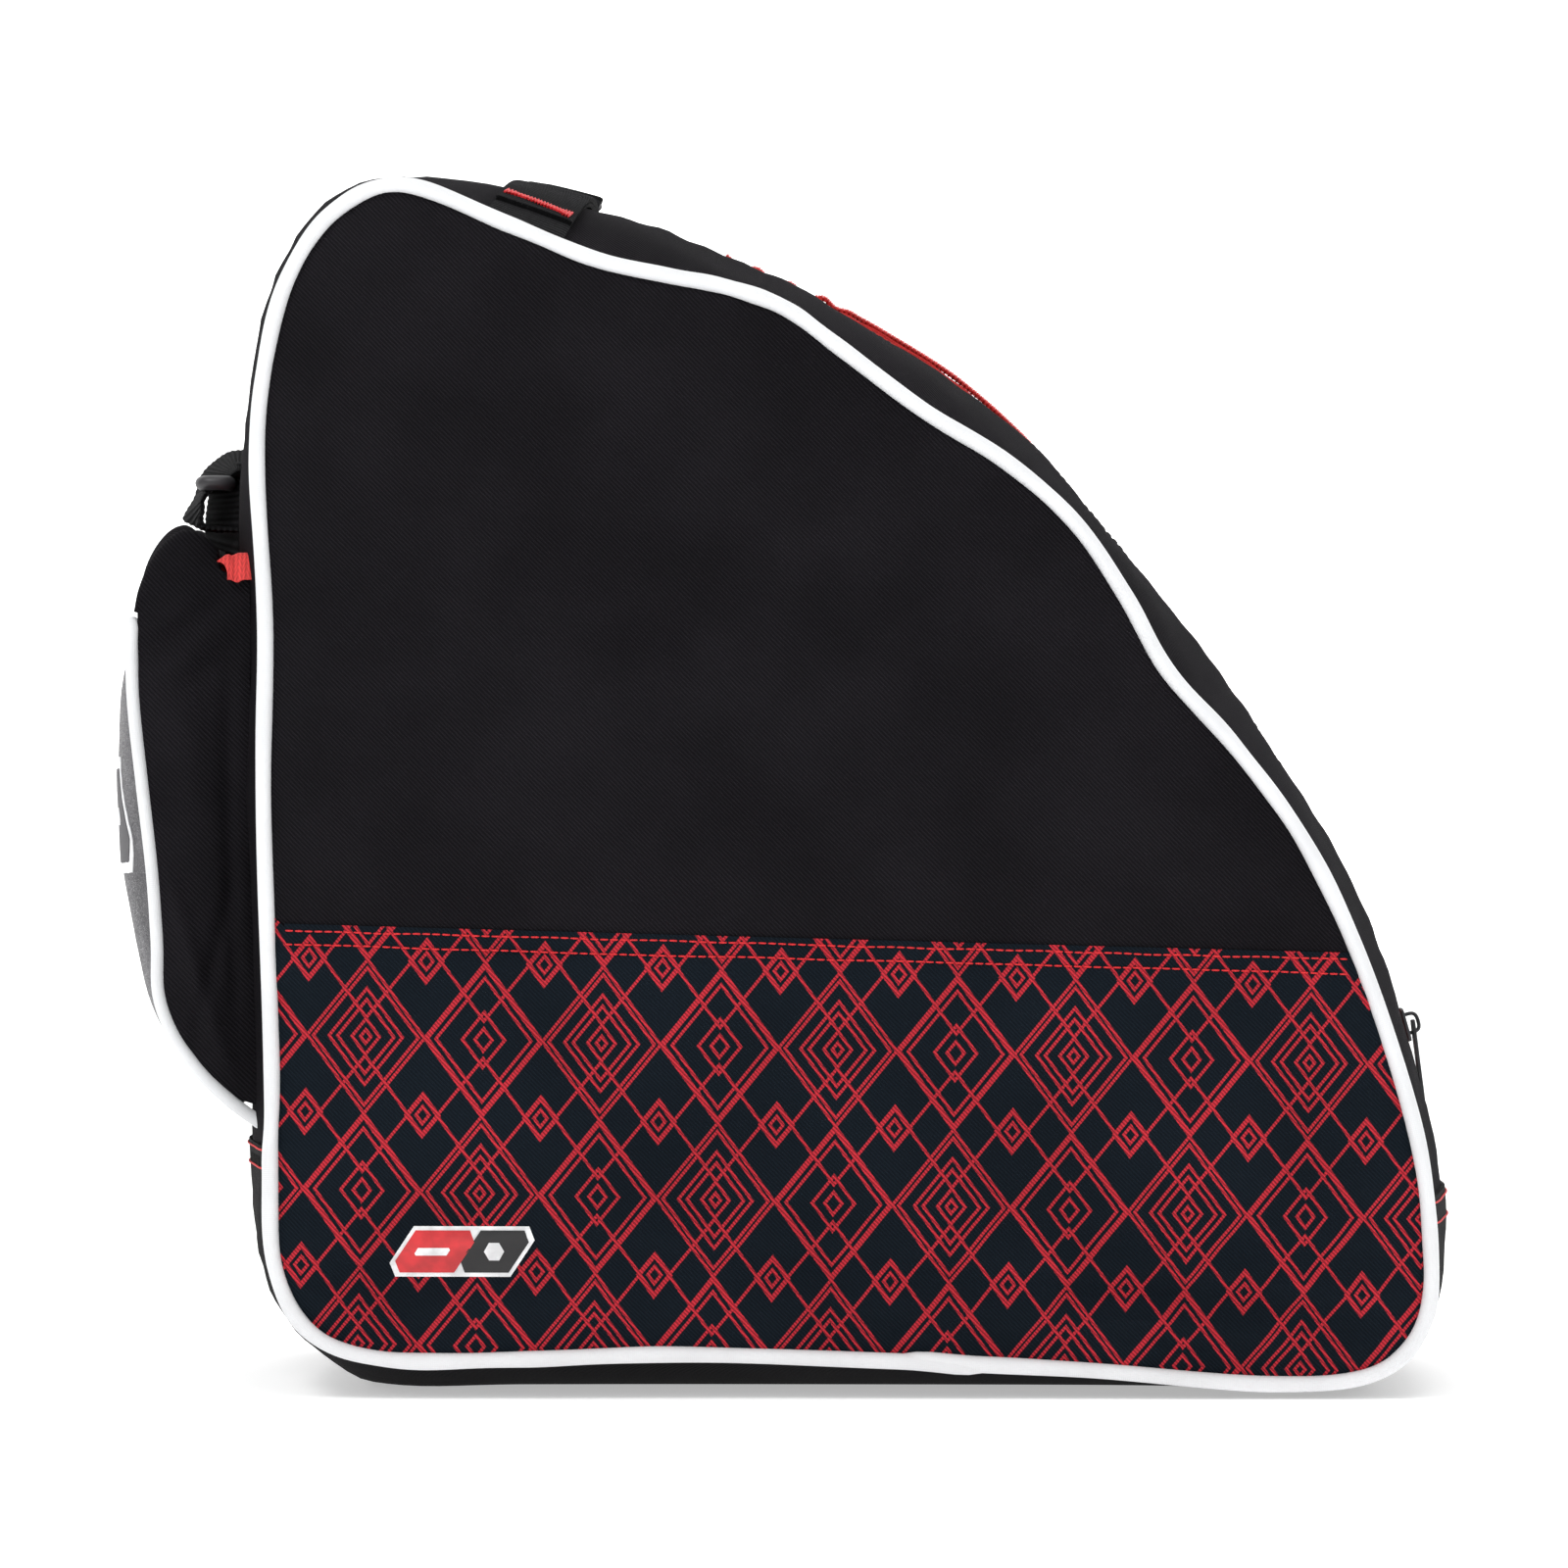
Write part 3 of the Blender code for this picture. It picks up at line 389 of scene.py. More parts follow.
# ---- node arithmetic ----
class Maker:
    """Builds a material's nodes. Numbers and sockets mix freely."""

    def __init__(self, name, colour, roughness, **shader_values):
        self.look = bpy.data.materials.new(name)
        self.look.use_nodes = True
        self.tree = self.look.node_tree
        self.shader = self.tree.nodes["Principled BSDF"]
        self.shader.inputs["Base Color"].default_value = (*colour, 1)
        self.shader.inputs["Roughness"].default_value = roughness
        for key, value in shader_values.items():
            self.shader.inputs[key.replace("_", " ")].default_value = value
        self.look.diffuse_color = (*colour, 1)

    def node(self, kind, **settings):
        made = self.tree.nodes.new(kind)
        for key, value in settings.items():
            setattr(made, key, value)
        return made

    def put(self, socket, value):
        if isinstance(value, bpy.types.NodeSocket):
            self.tree.links.new(value, socket)
        else:
            socket.default_value = value

    def math(self, operation, *values):
        made = self.node("ShaderNodeMath", operation=operation)
        for socket, value in zip(made.inputs, values):
            self.put(socket, value)
        return made.outputs[0]

    def fold(self, operation, values):
        total = values[0]
        for value in values[1:]:
            total = self.math(operation, total, value)
        return total

    def add(self, *values):
        return self.fold("ADD", values)

    def sub(self, a, b):
        return self.math("SUBTRACT", a, b)

    def mul(self, *values):
        return self.fold("MULTIPLY", values)

    def most(self, *values):
        return self.fold("MAXIMUM", values)

    def size(self, a):
        return self.math("ABSOLUTE", a)

    def ramp(self, value, low, high, to_low=0.0, to_high=1.0):
        made = self.node("ShaderNodeMapRange", interpolation_type="SMOOTHSTEP")
        for socket, number in zip(made.inputs, (value, low, high, to_low, to_high)):
            self.put(socket, number)
        return made.outputs[0]

    def cloth(self):
        """The cloth's own two coordinates, in millimetres."""
        read = self.node("ShaderNodeAttribute", attribute_type="GEOMETRY", attribute_name="cloth")
        split = self.node("ShaderNodeSeparateXYZ")
        self.tree.links.new(read.outputs["Vector"], split.inputs[0])
        return split.outputs[0], split.outputs[1], read.outputs["Vector"]

    def place(self):
        return self.node("ShaderNodeTexCoord").outputs["Object"]

    def noise(self, vector, scale, detail=2.0):
        made = self.node("ShaderNodeTexNoise")
        self.put(made.inputs["Vector"], vector)
        self.put(made.inputs["Scale"], scale)
        self.put(made.inputs["Detail"], detail)
        return made.outputs["Fac"]

    def spots(self, vector, scale, detail, low, high):
        """Soft patches between two values."""
        return self.ramp(self.noise(vector, scale, detail), 0.3, 0.7, low, high)

    def mix(self, share, a, b):
        made = self.node("ShaderNodeMix", data_type="RGBA")
        self.put(made.inputs["Factor"], share)
        for socket, value in ((made.inputs["A"], a), (made.inputs["B"], b)):
            self.put(socket, value if isinstance(value, bpy.types.NodeSocket) else (*value, 1))
        return made.outputs["Result"]

    def shade(self, colour, factor):
        """The colour made lighter or darker by a factor."""
        made = self.node("ShaderNodeVectorMath", operation="SCALE")
        self.put(made.inputs[0], colour)
        self.put(made.inputs["Scale"], factor)
        return made.outputs[0]

    def colour(self, colour, factor):
        self.put(self.shader.inputs["Base Color"], self.shade(colour, factor))

    def rough(self, value):
        self.put(self.shader.inputs["Roughness"], value)

    def bump(self, height, distance):
        """Bump from a height of 0 to 1, distance in millimetres. Gives back the finished material."""
        made = self.node("ShaderNodeBump")
        self.put(made.inputs["Height"], height)
        self.put(made.inputs["Distance"], distance * MM)
        self.put(made.inputs["Strength"], 1.0)
        self.put(self.shader.inputs["Normal"], made.outputs[0])
        return self.look

    def wave(self, phase):
        """0 to 1 along a phase counted in periods."""
        return self.math("MULTIPLY_ADD", self.math("SINE", self.mul(phase, 2 * math.pi)), 0.5, 0.5)


def twill(maker, u, v, pitch):
    """Height of a twill weave: slanting ribs broken by the threads that cross them."""
    rib = maker.wave(maker.mul(maker.add(u, v), 1 / (pitch * math.sqrt(2))))
    thread = maker.wave(maker.mul(maker.sub(u, v), 1.55 / pitch))
    return maker.add(maker.mul(rib, 0.72), maker.mul(thread, 0.28))


def fabric(name, colour, pitch=1.0, contrast=0.9, bump=0.25, roughness=0.85):
    """Woven cloth with slanting ribs, uneven yarn and slight wear."""
    maker = Maker(name, colour, roughness, Sheen_Weight=0.0, Specular_IOR_Level=0.03)
    u, v, vector = maker.cloth()
    uneven = maker.noise(vector, 0.9, 3.0)
    height = twill(maker, maker.add(u, maker.mul(uneven, 0.25)), v, pitch)
    patches = maker.spots(vector, 0.018, 3.0, 0.82, 1.18)
    fine = maker.ramp(maker.noise(vector, 2.6, 2.0), 0.2, 0.8, 0.85, 1.15)
    weave = maker.add(1.0 - contrast / 2, maker.mul(height, contrast))
    maker.colour(colour, maker.mul(weave, patches, fine))
    maker.rough(maker.ramp(height, 0, 1, roughness + 0.1, roughness - 0.06))
    return maker.bump(height, bump)


def diamond(maker, x, y, centre_x, centre_y):
    """Distance from a centre in a diamond's own measure."""
    tall = maker.mul(maker.size(maker.sub(y, centre_y)), CELL_X / CELL_Y)
    return maker.add(maker.size(maker.sub(x, centre_x)), tall)


CELL_X, CELL_Y = 35.8, 46.7  # half the printed lattice's repeat
PRINT_TILT, PRINT_AT = math.radians(1.6), (6.0, -12.8)
LINE = 0.8  # width of a printed line
PRINT_MOTIFS = (  # nested diamonds: centres in half a repeat, and half widths
    (0.0, 0.0, (1.6, 4.2, 8.6, 11.2, 16.0, 31.4)), (0.0, CELL_Y, (2.6, 6.4, 14.4, 17.0, 31.4)),
    (CELL_X / 2, CELL_Y / 2, (2.0, 5.0, 17.9)),
)  # fmt: skip


def printed_lines(maker, u, v):
    """1 on the lines of a lattice of nested diamonds, 0 between them."""
    c, s = math.cos(PRINT_TILT), math.sin(PRINT_TILT)
    x = maker.add(maker.mul(u, c), maker.mul(v, -s))
    y = maker.add(maker.mul(u, s), maker.mul(v, c))
    x = maker.math("PINGPONG", maker.add(x, PRINT_AT[0] + 20 * CELL_X), CELL_X)
    y = maker.math("PINGPONG", maker.add(y, PRINT_AT[1] + 20 * CELL_Y), CELL_Y)
    far = maker.math("GREATER_THAN", x, CELL_X / 2)
    mirror = maker.sub(1.0, maker.mul(far, 2.0))
    x = maker.add(maker.mul(far, CELL_X), maker.mul(x, mirror))
    y = maker.add(maker.mul(far, CELL_Y), maker.mul(y, mirror))

    def line(distance):
        return maker.ramp(maker.size(distance), LINE * 0.42, LINE * 0.62, 1.0, 0.0)

    parts = []
    for centre_x, centre_y, sizes in PRINT_MOTIFS:
        ring = diamond(maker, x, y, centre_x, centre_y)
        parts += [line(maker.mul(maker.sub(ring, size), math.sqrt(0.5))) for size in sizes]
    return maker.most(*parts)


def printed_fabric(name):
    ground, red = (0.0062, 0.0098, 0.0145), (0.55, 0.028, 0.042)
    maker = Maker(name, ground, 0.8, Sheen_Weight=0.0, Specular_IOR_Level=0.06)
    u, v, vector = maker.cloth()
    height = twill(maker, u, v, 0.95)
    wobble = maker.mul(maker.sub(maker.noise(vector, 1.1), 0.5), 0.34)
    on_line = printed_lines(maker, maker.add(u, wobble), maker.add(v, wobble))
    worn = maker.ramp(maker.noise(vector, 2.2), 0.25, 0.7, 0.72, 1.0)
    cover = maker.mul(on_line, worn, maker.ramp(height, 0.1, 0.75, 0.62, 1.0))
    patches = maker.spots(vector, 0.02, 3.0, 0.9, 1.12)
    factor = maker.mul(maker.add(0.62, maker.mul(height, 0.76)), patches)
    maker.colour(maker.mix(cover, ground, red), factor)
    maker.rough(maker.ramp(cover, 0, 1, 0.82, 0.62))
    return maker.bump(height, 0.16)


def vinyl(name, colour):
    """Smooth coated cord cover with a faint weave under the coat."""
    maker = Maker(name, colour, 0.42, Specular_IOR_Level=0.3)
    u, v, vector = maker.cloth()
    weave = maker.mul(maker.wave(maker.mul(u, 1.6)), maker.wave(maker.mul(v, 1.6)))
    patches = maker.spots(vector, 0.05, 2.0, 0.96, 1.02)
    maker.colour(colour, maker.mul(patches, maker.ramp(weave, 0, 1, 0.97, 1.0)))
    maker.rough(maker.spots(vector, 0.3, 2.0, 0.34, 0.52))
    return maker.bump(weave, 0.05)


def glitter(name):
    """Grey coated cloth with fine sparkling flakes and a leathery grain."""
    colour = (0.105, 0.102, 0.11)
    maker = Maker(name, colour, 0.5, Specular_IOR_Level=0.05)
    _, _, vector = maker.cloth()
    cells = maker.node("ShaderNodeTexVoronoi")
    maker.put(cells.inputs["Vector"], vector)
    maker.put(cells.inputs["Scale"], 2.2)
    flake = maker.ramp(cells.outputs["Distance"], 0.05, 0.5, 1.0, 0.0)
    tone = maker.node("ShaderNodeSeparateColor")
    maker.put(tone.inputs[0], cells.outputs["Color"])
    bright = maker.ramp(tone.outputs[0], 0.55, 1.0, 0.6, 3.4)
    patches = maker.spots(vector, 0.05, 4.0, 0.8, 1.25)
    maker.colour(colour, maker.mul(maker.add(0.75, maker.mul(flake, bright, 0.5)), patches))
    shiny = maker.mul(flake, maker.ramp(tone.outputs[1], 0.7, 0.95, 0.0, 0.35))
    maker.put(maker.shader.inputs["Metallic"], shiny)
    maker.rough(maker.ramp(tone.outputs[2], 0, 1, 0.25, 0.6))
    grain = maker.mul(maker.noise(vector, 0.6, 3.0), 0.5)
    return maker.bump(maker.add(maker.mul(flake, 0.5), grain), 0.22)


def webbing(name, colour):
    """Ribbed narrow strap: ribs across its length and a herringbone of yarns between them."""
    maker = Maker(name, colour, 0.78, Specular_IOR_Level=0.08)
    u, v, vector = maker.cloth()
    rib = maker.wave(maker.mul(v, 1 / RIB))
    zig = maker.math("PINGPONG", maker.add(u, 200.0), 3.1)
    yarn = maker.wave(maker.mul(maker.add(zig, maker.mul(v, 0.9)), 1 / 0.8))
    height = maker.add(maker.mul(rib, 0.75), maker.mul(yarn, 0.25))
    patches = maker.spots(vector, 0.5, 2.0, 0.85, 1.15)
    maker.colour(colour, maker.mul(maker.ramp(height, 0, 1, 0.45, 1.7), patches))
    return maker.bump(height, 0.3)


def zip_cloth(name, colour):
    """Zip tape: fine lengthwise cords with a herringbone between."""
    maker = Maker(name, colour, 0.7, Specular_IOR_Level=0.12)
    u, v, vector = maker.cloth()
    cord = maker.wave(maker.mul(v, 1 / 1.3))
    yarn = maker.wave(maker.mul(maker.add(u, maker.math("PINGPONG", maker.add(v, 60.0), 1.3)), 1 / 0.9))
    height = maker.add(maker.mul(cord, 0.55), maker.mul(yarn, 0.45))
    patches = maker.spots(vector, 0.2, 2.0, 0.9, 1.08)
    maker.colour(colour, maker.mul(maker.ramp(height, 0, 1, 0.72, 1.15), patches))
    return maker.bump(height, 0.12)


def thread(name, colour):
    maker = Maker(name, colour, 0.5, Specular_IOR_Level=0.25)
    height = maker.noise(maker.place(), 2600.0)
    maker.colour(colour, maker.ramp(height, 0.3, 0.7, 0.8, 1.15))
    return maker.bump(height, 0.08)


def moulded(name, colour, roughness=0.42):
    """Moulded plastic with a fine grain and rubbed spots."""
    maker = Maker(name, colour, roughness, Specular_IOR_Level=0.5)
    vector = maker.place()
    rubbed = maker.noise(vector, 180.0, 3.0)
    maker.colour(colour, maker.ramp(rubbed, 0.3, 0.7, 0.85, 1.2))
    maker.rough(maker.ramp(rubbed, 0.3, 0.7, roughness - 0.08, roughness + 0.12))
    return maker.bump(maker.noise(vector, 3200.0), 0.03)


def metal(name, colour):
    maker = Maker(name, colour, 0.4, Metallic=0.25, Specular_IOR_Level=0.3)
    vector = maker.place()
    worn = maker.noise(vector, 260.0, 4.0)
    maker.colour(colour, maker.ramp(worn, 0.35, 0.7, 0.8, 1.5))
    maker.rough(maker.ramp(worn, 0.3, 0.7, 0.26, 0.46))
    return maker.bump(maker.noise(vector, 2400.0), 0.02)


BLACK = (0.0112, 0.0102, 0.0122)
LOOKS = {
    "black": fabric("black_twill", BLACK),
    "gusset": fabric("black_twill_gusset", BLACK, pitch=1.1),
    "base": fabric("base_twill", (0.0085, 0.008, 0.009), pitch=1.3, roughness=0.7),
    "print": printed_fabric("printed_twill"),
    "lining": fabric("lining_weave", (0.035, 0.035, 0.04), 0.7, contrast=0.3, bump=0.08, roughness=0.75),
    "white": vinyl("white_vinyl", (0.86, 0.87, 0.885)),
    "grey": glitter("glitter_grey"),
    "tape": zip_cloth("red_tape", (0.86, 0.08, 0.075)),
    "coil": moulded("red_coil", (0.74, 0.05, 0.045), 0.38),
    "web": webbing("black_webbing", (0.011, 0.011, 0.012)),
    "plastic": moulded("ring_black", (0.045, 0.043, 0.047)),
    "metal": metal("slider_metal", (0.035, 0.035, 0.038)),
    "red_thread": thread("red_thread", (0.72, 0.03, 0.035)),
    "black_thread": thread("black_thread", (0.02, 0.02, 0.022)),
    "badge_white": moulded("badge_white", (0.82, 0.83, 0.84), 0.4),
    "badge_red": moulded("badge_red", (0.6, 0.03, 0.035), 0.42),
    "badge_black": moulded("badge_black", (0.012, 0.012, 0.013), 0.42),
}


# ---- camera, light and floor ----
def make_studio():
    scene = bpy.context.scene
    scene.view_settings.view_transform = "Standard"
    eye = Vector((-0.0193, -2.4, 0.1869))
    data = bpy.data.cameras.new("camera")
    seen = 0.4984  # metres across the picture in the bag's middle plane
    data.sensor_width = 36.0
    data.lens = 36.0 * abs(eye.y) / seen
    data.clip_end = 100
    camera = bpy.data.objects.new("camera", data)
    camera.location = eye
    camera.rotation_euler = (math.radians(90), 0, 0)
    scene.collection.objects.link(camera)
    scene.camera = camera

    world = bpy.data.worlds.new("studio")
    world.use_nodes = True
    world.node_tree.nodes["Background"].inputs["Color"].default_value = (1, 1, 1, 1)
    world.node_tree.nodes["Background"].inputs["Strength"].default_value = 0.55
    scene.world = world

    for name, place, target, size, power in (
        ("key", (-1.1, -1.7, 2.3), (0, 0, 0.2), 0.9, 27),
        ("fill", (1.7, -2.2, 0.7), (0, 0, 0.2), 1.6, 6),
        ("top", (0.5, 0.2, 2.6), (0, 0, 0.2), 1.0, 12),
    ):
        data = bpy.data.lights.new(name, "AREA")
        data.size = size
        data.energy = power
        lamp = bpy.data.objects.new(name, data)
        lamp.location = place
        lamp.rotation_euler = (Vector(target) - Vector(place)).to_track_quat("-Z", "Y").to_euler()
        scene.collection.objects.link(lamp)

    half, far, ground, top = 16000.0, 5000.0, -0.2, 12000.0
    floor = [(-half, -half, ground), (half, -half, ground), (half, far, ground), (-half, far, ground)]
    wall = [(-half, far, ground), (half, far, ground), (half, far, top), (-half, far, top)]
    for name, corners, glow in (("floor", floor, 0.42), ("backdrop", wall, 0.75)):
        maker = Maker(name + "_white", (0.93, 0.93, 0.93), 0.8, Specular_IOR_Level=0.0)
        maker.shader.inputs["Emission Strength"].default_value = glow
        maker.shader.inputs["Emission Color"].default_value = (1, 1, 1, 1)
        maker.rough(maker.spots(maker.place(), 30.0, 2.0, 0.75, 0.85))
        new_object(name, corners, [[0, 1, 2, 3]], maker.look)


# ---- side panels ----
PANEL_U = np.linspace(0, SPANS, SPANS * 10, endpoint=False)
PANEL_EDGE = seam(PANEL_U)[0]


def hem_z(x):
    (x0, z0), (x1, z1) = HEM
    return z0 + (z1 - z0) * (x - x0) / (x1 - x0)


def seam_distance(points):
    """Distance from the seam and length along it, for points in x and z."""
    a, b = PANEL_EDGE, np.roll(PANEL_EDGE, -1, axis=0)
    step = b - a
    lengths = np.linalg.norm(step, axis=1)
    start = np.concatenate([[0], np.cumsum(lengths)[:-1]])
    best = np.full(len(points), 1e9)
    along = np.zeros(len(points))
    for k in range(len(a)):
        t = np.clip(((points - a[k]) @ step[k]) / lengths[k] ** 2, 0, 1)
        gap = np.linalg.norm(points - a[k] - t[:, None] * step[k], axis=1)
        closer = gap < best
        best[closer] = gap[closer]
        along[closer] = (start[k] + t * lengths[k])[closer]
    return best, along


def panel_height(points, side):
    """How far the padded side stands out from the plane of the seam."""
    x, z = points[:, 0], points[:, 1]
    distance, along = seam_distance(points)
    seed = 11 if side == NEAR else 47
    height = -1.4 + 3.0 * (1 - np.exp(-distance / 4.5)) + 5.6 * (1 - np.exp(-distance / 62))
    pucker = np.sin(2 * math.pi * along / 10.5 + 1.6 * waves(along, along * 0, seed, 70))
    height += 0.34 * np.exp(-((distance - 5) / 6) ** 2) * pucker
    inside = smoothstep(distance / 45)
    height += inside * 1.0 * waves(x, z, seed + 1, 150, angle=math.radians(-52), spread=0.7)
    height += inside * 0.28 * waves(x, z, seed + 2, 46, angle=math.radians(-50), spread=1.6)
    # shallow folds that run along the bottom, and one near the front edge
    low = smoothstep((78 - z) / 45) * smoothstep(distance / 12)
    height += low * 1.9 * np.sin(2 * math.pi * (z + 0.05 * x + 4 * waves(x, z, seed + 3, 120)) / 19)
    fold = np.exp(-((x + 150 + 0.25 * (z - 80)) / 9) ** 2) * smoothstep((120 - z) / 60)
    return height - 1.1 * fold * smoothstep(distance / 10), distance


HEM_LINES = (0.0, 1.0, 9.0)  # drops below the hem at which the mesh has a row of points


def panel_mesh():
    """Points in x and z and triangles that fill the seam, denser near it, with lines along the hem."""
    edge_points, normals, _, _ = seam(PANEL_U)
    outline, *rings = [edge_points - normals * inset for inset in (1.0, 2.4, 4.2, 6.6, 9.4)]
    xs, zs = np.arange(-190, 190, 4.2), np.arange(2, 376, 3.7)
    lattice = np.array([(x + (2.1 if k % 2 else 0.0), z) for k, z in enumerate(zs) for x in xs])
    keep = np.array([point_in(place, PANEL_EDGE) for place in lattice]) & (seam_distance(lattice)[0] > 11.5)
    for drop in HEM_LINES:
        keep &= np.abs(lattice[:, 1] - hem_z(lattice[:, 0]) + drop) > 1.2
    hem_x = np.arange(-171.0, 152.5, 3.0)
    lines = [np.column_stack([hem_x, hem_z(hem_x) - drop]) for drop in HEM_LINES]
    fill = np.concatenate([ring[::2] for ring in rings] + [lattice[keep]])
    points = np.concatenate([outline, fill, *lines])
    edges = [(i, (i + 1) % len(outline)) for i in range(len(outline))]
    for number in range(len(lines)):
        start = len(outline) + len(fill) + number * len(hem_x)
        edges += [(start + i, start + i + 1) for i in range(len(hem_x) - 1)]
    flat, faces = triangulated(points, edges)
    return flat, np.array([face for face in faces if len(face) == 3])


def triangulated(points, edges):
    """Points and faces of a triangulation that keeps the edges."""
    found = delaunay_2d_cdt([Vector(place) for place in points], edges, [], 1, 1e-4)
    return np.array([tuple(v) for v in found[0]]), [list(face) for face in found[2]]


def slab(name, points, triangles, outer_y, inner_y, side, look):
    """A closed slab over a triangulated area of the side, between two heights from the bag's middle."""
    used = np.unique(triangles)
    index = np.full(len(points), -1)
    index[used] = np.arange(len(used))
    triangles = index[triangles]
    points, outer_y, inner_y = points[used], outer_y[used], inner_y[used]
    a, b, c = (points[triangles[:, k]] for k in range(3))
    turn = (b[:, 0] - a[:, 0]) * (c[:, 1] - a[:, 1]) - (b[:, 1] - a[:, 1]) * (c[:, 0] - a[:, 0])
    triangles = np.where((turn > 0)[:, None] == (side == NEAR), triangles, triangles[:, ::-1])
    count = len(points)
    both = [np.column_stack([points[:, 0], side * y, points[:, 1]]) for y in (outer_y, inner_y)]
    faces = triangles.tolist() + (triangles[:, ::-1] + count).tolist() + rim(triangles.tolist(), count)
    return new_object(name, np.concatenate(both), faces, look, np.concatenate([points, points]))


def make_panels():
    points, triangles = panel_mesh()
    centre = points[triangles].mean(axis=1)
    drop = hem_z(centre[:, 0]) - centre[:, 1]
    below_hem = hem_z(points[:, 0]) - points[:, 1]
    heights = {}
    for side, word in SIDES:
        height, distance = panel_height(points, side)
        padding = 1.2 + 4.4 * (1 - np.exp(-distance / 6))
        upper = slab("upper_panel_" + word, points, triangles[drop < 9.0],
                     SEAM_Y + height, SEAM_Y + height - padding, side, LOOKS["black"])  # fmt: skip
        finish_piece(upper, "body", "black_fabric", "upper_panel_" + word, "foam_" + word)
        rise = 1.3 * (1 - smoothstep((below_hem - 9) / 30)) * smoothstep(distance / 4)
        rise -= 0.7 * (1 - smoothstep(np.abs(below_hem - 6.5) / 3.0)) * smoothstep(distance / 6)
        uneven = 0.6 + 0.4 * waves(points[:, 0], points[:, 1], 5, 22)
        rise += 0.75 * np.exp(-((below_hem - 13) / 6) ** 2) * uneven
        edge_roll = 0.5 * np.exp(-below_hem / 0.6) * (below_hem > -0.5)
        thin = 1.2 + 4.3 * (1 - np.exp(-distance / 6)) * smoothstep((below_hem - 10) / 6)
        top = SEAM_Y + height + rise - edge_roll
        below = triangles[drop > 0.0]
        lower = slab("lower_panel_" + word, points, below, top, top - thin, side, LOOKS["print"])
        finish_piece(lower, "body", "printed_fabric", "lower_panel_" + word)
        heights[side] = (points, top)
        make_hem_stitches(side, word, points, top)
        inner = np.minimum(SEAM_Y + 0.3 * height - 7.2, SEAM_Y - 6.4)
        lining = slab("side_lining_" + word, points, triangles, inner, inner - 0.8, side, LOOKS["lining"])
        finish_piece(lining, "body", "lining", "side_lining_" + word)
    return heights


def nearest_shares(points, place, soft):
    """The points nearest to a place and their shares in it."""
    gap = np.sum((points - place) ** 2, axis=1)
    nearest = np.argpartition(gap, 4)[:4]
    weight = 1 / (gap[nearest] + soft)
    return nearest, weight / weight.sum()


def height_on(points, heights, where):
    """Heights at places, from the nearest mesh points."""
    found = (nearest_shares(points, place, 0.3) for place in where)
    return np.array([shares @ heights[nearest] for nearest, shares in found])


def make_hem_stitches(side, word, points, top):
    rows = []
    for number, drop in enumerate((2.0, 6.3)):
        x = np.linspace(-171.0, 152.0, 240)
        where = np.column_stack([x, hem_z(x) - drop + 0.15 * waves(x, x * 0, 3 + number, 30)])
        distance, _ = seam_distance(where)
        inside = np.array([point_in(place, PANEL_EDGE) for place in where])
        where = where[inside & (distance > 3.2)]
        y = height_on(points, top, where)
        path = np.column_stack([where[:, 0], side * y, where[:, 1]])
        outward = np.tile((0.0, side, 0.0), (len(path), 1))
        name = f"hem_row_{number}_{word}"
        rows.append(stitches(name, path, outward, LOOKS["red_thread"], 3.0, 2.5, 0.3))
    finish_piece(joined("hem_stitches_" + word, rows), "body", "red_zip")


# ---- piping ----
LAP_AT, LAP = 28.75, 0.42  # under the base, where the two ends of the piping lap, in stations


def make_piping():
    for side, word in SIDES:
        u = np.linspace(LAP_AT - LAP / 2, LAP_AT + SPANS + LAP / 2, SPANS * 14)
        place, normal, _, _ = seam(u)
        run = (u - u[0]) / (u[-1] - u[0]) * 1250
        to_start, to_end = (u - u[0]) / LAP, (u[-1] - u) / LAP
        shift = 1.2 * (1 - smoothstep(to_start)) - 1.0 * (1 - smoothstep(to_end))
        place = place + normal * shift[:, None]
        wander = 0.22 * waves(run, run * 0, 21 + side, 60)
        path = np.column_stack([place[:, 0], side * (SEAM_Y + 0.3 + wander), place[:, 1]])
        radius = PIPING_R + 0.1 * waves(run, run * 0, 31 + side, 35)
        radius -= 1.1 * (1 - smoothstep(to_start * 4)) + 1.1 * (1 - smoothstep(to_end * 4))
        piping = tube_object("piping_" + word, path, radius, LOOKS["white"], sides=16)
        finish_piece(piping, "body", "white_piping", "piping_" + word)


# ---- gusset, base and linings ----
def across_values(start, end, step):
    count = max(2, int(round(abs(end - start) / step)) + 1)
    return np.linspace(start, end, count)


def gusset_lift(u, y):
    """Puckers along the seams and soft waves across the gusset, in millimetres."""
    length = length_at(u)
    to_seam = EDGE_Y - np.abs(y)
    pucker = np.sin(2 * math.pi * length / 12 + 1.8 * waves(length, y * 0, 71, 60) + np.sign(y))
    lift = 0.5 * np.exp(-((to_seam - 6) / 8) ** 2) * pucker
    lift += 0.55 * waves(length, y, 72, 75) * smoothstep(to_seam / 30)
    return lift - 0.4 + 0.22 * waves(length, y * 0.35, 73, 17, spread=1.0) * smoothstep(to_seam / 12)


def on_gusset(u, y, lift=0.0, wrinkled=1.0):
    base = smoothstep((seam(u)[3] - 4) / 3)
    return shell(u, y, lift + gusset_lift(u, y) * wrinkled * (1 - base))


def gusset_grid(us, ys, lift=0.0):
    u, y = np.meshgrid(us, ys, indexing="ij")
    return on_gusset(u, y, lift), np.stack([length_at(u), y], -1)


